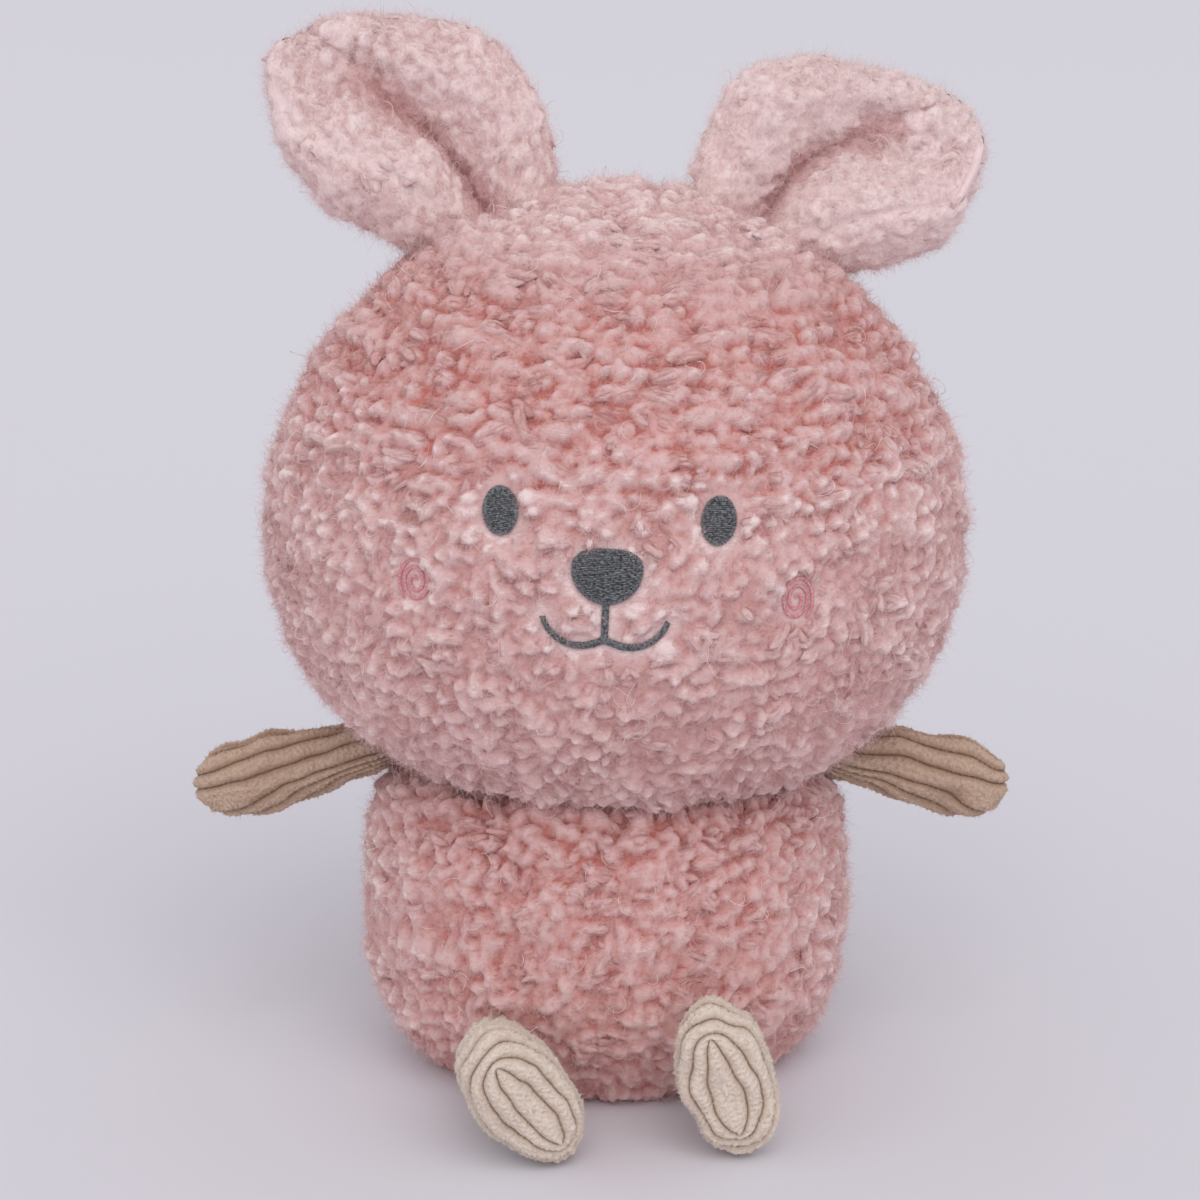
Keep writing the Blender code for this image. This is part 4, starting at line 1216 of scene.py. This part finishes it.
def build_ear(number, side):
    """Short pile, painted pale as lit through, with painted shade, warmer, along the fold, and clear of the
    rim's seam.
    """
    surface = ear_surface(side)
    draw = np.random.default_rng(500 + number)
    lon, place, normal, _, north = scatter_rows(surface, (-8.0, 88.0), 3.3, 3.4, 0.4, 510 + number)
    count = len(lon)
    heading = around(north, normal, draw.normal(0.0, 0.8, count))
    length = mix(3.8, 7.5, draw.uniform(0, 1, count) ** 1.4)
    width = mix(1.8, 3.2, draw.uniform(0, 1, count))
    lift = np.maximum(0.2, mix(0.1, 0.8, draw.uniform(0, 1, count)) + 0.3 * ripple(place, 12.0, 33))
    edge, middle = (202.5, 270.0) if side == "left" else (157.5, 90.0)
    seam_line = surface(np.full(90, edge), np.linspace(12.0, 60.0, 90), 0.0)
    crease_line = surface(np.full(60, middle), np.linspace(3.0, 50.0, 60), 0.0)

    def clear(points):
        return 1.6 * from_line(points, seam_line) - 1.0

    # painted light over the ear, and painted shade, warmer and darker, along the crease of its fold
    def tone(points):
        return EARS[side]["pale"] - 0.36 * np.exp(-(from_line(points, crease_line) / 4.5) ** 2)

    name = "ear_" + side
    front, back = name + "_front_panel", name + "_back_panel"
    panels = (("front", front, 0.0, edge), ("back", back, edge, 360.0))
    if side == "left":
        panels = (("front", front, edge, 360.0), ("back", back, 0.0, edge))
    spots = [v[clear(place) > 0.8] for v in (lon, place, normal, heading, length, width, lift)]
    grow_pile(name, surface, spots, panels, (-8.0, 88.5), name, 3000 + 300 * number, matrix=ear_matrix(side),
              clear=clear, tone=tone, contrast=level_contrast(0.3), down=4.5, fill=0.5, cloth=0.6, under=1.2)


# ---- limbs: wide-wale corduroy

ARM = dict(root=6.5, half=(9.8, 7.0), widest=0.6, tip_start=0.66, blunt=2.2)
ARMS = dict(left=dict(length=46.0, droop=14.5, up=3.6), right=dict(length=42.5, droop=11.5, up=1.8))
LEG = dict(root=8.0, half=(19.2, 11.2), widest=0.78, tip_start=0.70, blunt=3.2)
LEGS = dict(left=dict(hip=(-27.0, -46.5, 17.8), tip=(-18.3, -82.0, 17.8), tilt=-38.0),
            right=dict(hip=(29.0, -46.5, 20.0), tip=(27.3, -76.5, 20.0), tilt=-17.0))
RIB = 1.35  # height of a wale
WALE = 5.0  # from groove to groove
LIMB_GRID = (230, 250)  # points along and round a limb
NAP_FIBRES = 14000
NAP_LENGTH = 0.75
NAP_HALF_WIDTH = 0.05
NAP_SHADE = 0.9


def limb_half(limb, length, z):
    """Half width and half thickness of a limb: a tongue that rounds off at both ends."""
    root = limb["root"]
    swell = smooth(z / (limb["widest"] * length))
    tip_start = limb["tip_start"] * length
    past = np.maximum(0.0, z - tip_start) / (length - tip_start)
    tip = np.maximum(0.0, 1.0 - past ** limb["blunt"]) ** (1.0 / limb["blunt"])
    heel = np.sqrt(np.maximum(0.0, 1.0 - (np.minimum(0.0, z) / root) ** 2))
    thin_root = min(root, limb["half"][1])
    return mix(root, limb["half"][0], swell) * tip * heel, mix(thin_root, limb["half"][1], swell) * tip * heel


def limb_grid(limb, length, rows, cols):
    """A limb's skin over (height, turn): points and outward normals in its own frame."""
    start = -0.75 * limb["root"]
    straight = int(rows * 0.5)
    tip_start = limb["tip_start"] * length
    along = np.linspace(0.0, 0.5 * math.pi, rows - straight)
    past = np.minimum(0.9999, np.sin(along) ** (2.0 / limb["blunt"]))
    tip = tip_start + (length - tip_start) * past
    z = np.concatenate([np.linspace(start, tip_start, straight, endpoint=False), tip])
    turn = np.linspace(0.0, math.tau, cols, endpoint=False)
    wide, thick = limb_half(limb, length, z)
    x, y = wide[:, None] * np.cos(turn), thick[:, None] * np.sin(turn)
    points = np.stack([x, y, z[:, None] + 0.0 * turn], -1)
    along = np.gradient(points, axis=0)
    across = np.roll(points, -1, 1) - np.roll(points, 1, 1)
    return points, unit(np.cross(across, along)), z, turn


def groove_profile(phase):
    """0 in a groove and 1 on a wale's crown, for a phase counted in wales."""
    return np.abs(np.sin(math.pi * phase)) ** 0.50


def arm_wales(points, z, length, up, seed):
    """Wales run along the arm, slanted and wavy, and are cut by the seams at its two edges."""
    quarter = np.linalg.norm(np.roll(points, -1, 1) - points, axis=-1)
    arc = np.cumsum(quarter, 1) - quarter
    total = quarter.sum(1, keepdims=True)
    upper = arc <= total / 2.0
    across = np.where(upper, arc - total / 4.0, arc - 0.75 * total)
    low = smooth(-up * across / 6.0)
    slant = np.where(upper, 0.10, up * mix(0.06, 0.50, low)) * (z[:, None] - 0.55 * length)
    squeeze = 1.0 + 0.35 * smooth((z[:, None] - 0.72 * length) / (0.28 * length))
    wave = 0.55 * ripple(points, 26.0, seed) + 0.10 * ripple(points, 9.0, seed + 1)
    phase = (across * squeeze + slant + wave) / WALE + 0.5
    seam = np.minimum(arc, np.minimum(np.abs(arc - total / 2.0), total - arc))
    return groove_profile(phase), seam


def sole_wales(points, turn, limb, seed):
    """Wales lie beside the seam that runs down the sole, pinched together at its two ends."""
    step = np.linalg.norm(np.diff(points, axis=0), axis=-1)
    run = np.concatenate([np.cumsum(step[::-1], 0)[::-1], np.zeros((1, len(turn)))], 0)
    shape = np.stack([np.cos(turn) * limb["half"][0], np.sin(turn) * limb["half"][1]], -1)
    way = unit(shape)
    x, y = run * way[None, :, 0], run * way[None, :, 1]
    focus = 0.56 * limb["half"][0]
    near, far = np.hypot(x - focus, y), np.hypot(x + focus, y)
    stretch = np.maximum(1.0, (near + far) / (2.0 * focus))
    level = focus * np.sqrt(stretch ** 2 - 1.0)
    wave = 0.45 * ripple(points, 17.0, seed) + 0.20 * ripple(points, 7.0, seed + 1)
    phase = (level + wave * smooth(level / 3.0)) / (0.95 * WALE) + 0.5
    seam = 9.0 + 0.0 * x
    return groove_profile(phase), seam


def limb_skin(limb, length, wales, seed):
    """A limb's ribbed cloth: the plain form and its normals, the ribbed points, and how high on a wale."""
    points, normal, z, turn = limb_grid(limb, length, *LIMB_GRID)
    crown, seam = wales(points, z, turn)
    notch = smooth(seam / 0.9)
    swell = 0.35 * ripple(points, 14.0, seed + 3) * smooth(z / 12.0)[:, None]
    nap = 0.13 * ripple(points, 1.6, seed + 4) + 0.12 * ripple(points, 0.95, seed + 5)
    nap = nap + 0.05 * np.sin(math.tau * z[:, None] / 0.85 + 1.5 * ripple(points, 3.0, seed + 6))
    height = RIB * (crown * (0.35 + 0.65 * notch) - 0.75) + swell + nap * crown
    return points, normal, points + normal * height[..., None], crown, notch


def closed_rings(points, low_end, high_end):
    """Mesh arrays of rings of points (rows, cols, 3), closed by a fan about each end."""
    rows, cols = points.shape[:2]
    verts = np.concatenate([points.reshape(-1, 3), high_end[None], low_end[None]])
    j = np.arange(cols)
    k = (j + 1) % cols
    top = (rows - 1) * cols
    tris = np.concatenate([np.stack([top + j, top + k, np.full(cols, rows * cols)], -1),
                           np.stack([k, j, np.full(cols, rows * cols + 1)], -1)])
    return verts, grid_quads(rows, cols, True), tris


def corduroy_nap(name, skin, normal, crown, look, matrix, seed):
    """Short fibres on the crowns of the wales."""
    draw = np.random.default_rng(seed)
    weight = area_weight(skin)
    pick = draw.choice(len(weight), NAP_FIBRES, p=weight / weight.sum())
    pick = pick[crown.ravel()[pick] > 0.55]
    root, out = skin.reshape(-1, 3)[pick], normal.reshape(-1, 3)[pick]
    way = unit(out + 0.8 * draw.normal(size=out.shape))
    turn = matrix[:3, :3].T
    root, out, way = root @ turn + matrix[:3, 3], out @ turn, way @ turn
    rows = fuzz(root - 0.05 * out, out, way, seed + 1, NAP_LENGTH, NAP_HALF_WIDTH,
                np.full(len(root), NAP_SHADE))
    return mesh_piece(name + "_nap", look, *rows)


def build_limb(name, panels, look, matrix, limb, length, wales, seed):
    points, normal, skin, crown, notch = limb_skin(limb, length, wales, seed)
    verts, quads, tris = closed_rings(skin, points[0].mean(0), skin[-1].mean(0))
    # painted shade: darker in the grooves and darker still in the notches beside the seams; the end caps as a
    # crown and half way
    shade = np.concatenate([(crown * (0.5 + 0.5 * notch)).ravel(), [1.0, 0.5]])
    piece = mesh_piece(name + "_corduroy", look, verts, quads, tris, dict(shade=shade), matrix)
    for made in (piece, corduroy_nap(name, skin, normal, crown, look, matrix, seed + 7)):
        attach(made, name)
    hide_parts(*[name + panel for panel in panels])
    core = (points * np.array([0.72, 0.66, 1.0]))[::8, ::10]
    core[..., 2] = np.clip(core[..., 2], -0.6 * limb["root"], length - 5.0)
    rows = shell(core, core * np.array([0.02, 0.02, 1.0]), wrap=True)
    filling = mesh_piece(name + "_fibre_fill", "stuffing", *rows, None, matrix)
    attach(filling, name)
    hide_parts(name + "_stuffing")


def build_arm(number, side, sign):
    """A thin arm held out sideways, drooping a little."""
    arm, name = ARMS[side], "arm_" + side
    matrix = np.eye(4)
    matrix[:3, :3] = np.array(Matrix.Rotation(sign * math.radians(90.0 + arm["droop"]), 3, "Y"))
    matrix[:3, 3] = joint_place(name + "_raise") + np.array([0.0, 0.0, arm["up"]])

    def wales(points, z, turn):
        return arm_wales(points, z, arm["length"], -sign, 601 + number)

    build_limb(name, ("_front_panel", "_back_panel"), "tan_cord", matrix, ARM, arm["length"],
               wales, 610 + 20 * number)


def build_leg(number, side):
    """A foot that points forward with its sole showing."""
    leg, name = LEGS[side], "leg_" + side
    pivot = np.array(leg["hip"])
    axis = np.array(leg["tip"]) - pivot
    length = float(np.linalg.norm(axis))
    forward = axis / length
    tilt = math.radians(leg["tilt"])
    thin = unit(np.cross(forward, np.array([math.sin(tilt), 0.0, math.cos(tilt)])))
    matrix = np.eye(4)
    matrix[:3, :3] = np.stack([np.cross(thin, forward), thin, forward], -1)
    matrix[:3, 3] = pivot

    def wales(points, z, turn):
        return sole_wales(points, turn, LEG, 651 + number)

    build_limb(name, ("_inner_panel", "_outer_panel"), "cream_cord", matrix, LEG, length,
               wales, 660 + 20 * number)


# ---- tail

def build_tail():
    """A round tuft of plump locks that lie every way."""
    low, high = (np.array(v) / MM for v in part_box("tail_cover"))
    middle = (low + high) / 2.0
    radius = (high[0] - low[0]) / 2.0
    middle[1] = high[1] - radius

    def tail_surface(lon, lat, grow):
        r = radius + grow
        flat = r * np.cos(np.radians(lat))
        x, z = flat * np.cos(np.radians(lon)), flat * np.sin(np.radians(lon))
        return middle + np.stack(np.broadcast_arrays(x, r * np.sin(np.radians(lat)), -z), -1)

    draw = np.random.default_rng(700)
    lon, place, normal, east, _ = scatter_rows(tail_surface, (-56.0, 88.0), 3.8, 4.0, 0.3, 701)
    count = len(lon)
    heading = around(east, normal, draw.uniform(0.0, math.tau, count))
    length = mix(4.5, 7.5, draw.uniform(0, 1, count))
    width = mix(3.0, 4.6, draw.uniform(0, 1, count))
    lift = mix(0.9, 2.2, draw.uniform(0, 1, count))
    grow_pile("tail", tail_surface, [lon, place, normal, heading, length, width, lift],
              (("", "tail_cover", 0.0, 360.0),), (-58.0, 89.0), "torso", 4000, fill=0.7)


# ---- what stays of the CAD, inside the covers

INNER_LOOKS = dict(bean_pouch="pouch", neck_seam_thread="seam_thread", torso_base_panel="base_cloth")


def dress_inner_nodes():
    """Give the CAD's own solids that stay their looks."""
    for name, node in frame["nodes"].items():
        look = "stuffing" if name.endswith("_stuffing") else INNER_LOOKS.get(name)
        if look:
            for slot in node.material_slots:
                slot.material = LOOKS[look]


# ---- stage

FLOOR_HALF = 12.0  # metres, as all sizes of the stage
FLOOR_TONES = ((0.3, (0.735, 0.73, 0.785)), (0.7, (0.745, 0.74, 0.795)))
AIR_COLOUR = (0.95, 0.93, 0.975, 1.0)
AIR_STRENGTH = 0.655
LAMP_COLOUR = (1.0, 0.985, 0.96)
LAMP_TARGET = (0.0, 0.0, 0.13)
# Place, spread in degrees, and power
LAMPS = dict(key=((0.25, -0.95, 1.1), 55.0, 1.05), fill=((-0.8, -1.1, 0.25), 80.0, 0.50))
CAMERA_PLACE = (-0.002, -0.7471, 0.3051)
CAMERA_TARGET = (-0.002, 0.0, 0.1188)
LENS = 92.4
SENSOR = 36.0
FARTHEST = 40.0


def aimed(name, data, place, target):
    """A lamp or camera at a place, turned to a target."""
    holder = bpy.data.objects.new(name, data)
    holder.location = place
    holder.rotation_euler = (Vector(target) - Vector(place)).to_track_quat("-Z", "Y").to_euler()
    bpy.context.scene.collection.objects.link(holder)
    return holder


def build_floor():
    look, nodes, links, shader = new_look("pale_floor", (0.74, 0.735, 0.79), 0.9, Specular_IOR_Level=0.1)
    grain = add_node(nodes, "ShaderNodeTexNoise", Scale=4.0, Detail=2.0)
    colour_by(nodes, links, shader, grain.outputs["Fac"], FLOOR_TONES)
    mesh = bpy.data.meshes.new("floor")
    corners = [(x * FLOOR_HALF, y * FLOOR_HALF, 0) for x, y in ((-1, -1), (1, -1), (1, 1), (-1, 1))]
    mesh.from_pydata(corners, [], [(0, 1, 2, 3)])
    mesh.materials.append(look)
    floor = bpy.data.objects.new("floor", mesh)
    bpy.context.scene.collection.objects.link(floor)


def build_stage():
    build_floor()
    scene = bpy.context.scene
    world = bpy.data.worlds.new("studio")
    scene.world = world
    world.use_nodes = True
    air = world.node_tree.nodes["Background"]
    air.inputs["Color"].default_value = AIR_COLOUR
    air.inputs["Strength"].default_value = AIR_STRENGTH
    for name, (place, spread, power) in LAMPS.items():
        lamp = bpy.data.lights.new(name, "SUN")
        lamp.angle = math.radians(spread)
        lamp.energy = power
        lamp.color = LAMP_COLOUR
        aimed(name, lamp, place, LAMP_TARGET)
    camera = bpy.data.cameras.new("camera")
    camera.lens = LENS
    camera.sensor_width = SENSOR
    camera.clip_end = FARTHEST
    scene.camera = aimed("camera", camera, CAMERA_PLACE, CAMERA_TARGET)
    scene.view_settings.view_transform = "Standard"


build_stage()
build_head()
build_torso()
build_face()
for number, (side, _) in enumerate(SIDES):
    build_ear(number, side)
for number, (side, sign) in enumerate(SIDES):
    build_arm(number, side, sign)
    build_leg(number, side)
build_tail()
dress_inner_nodes()
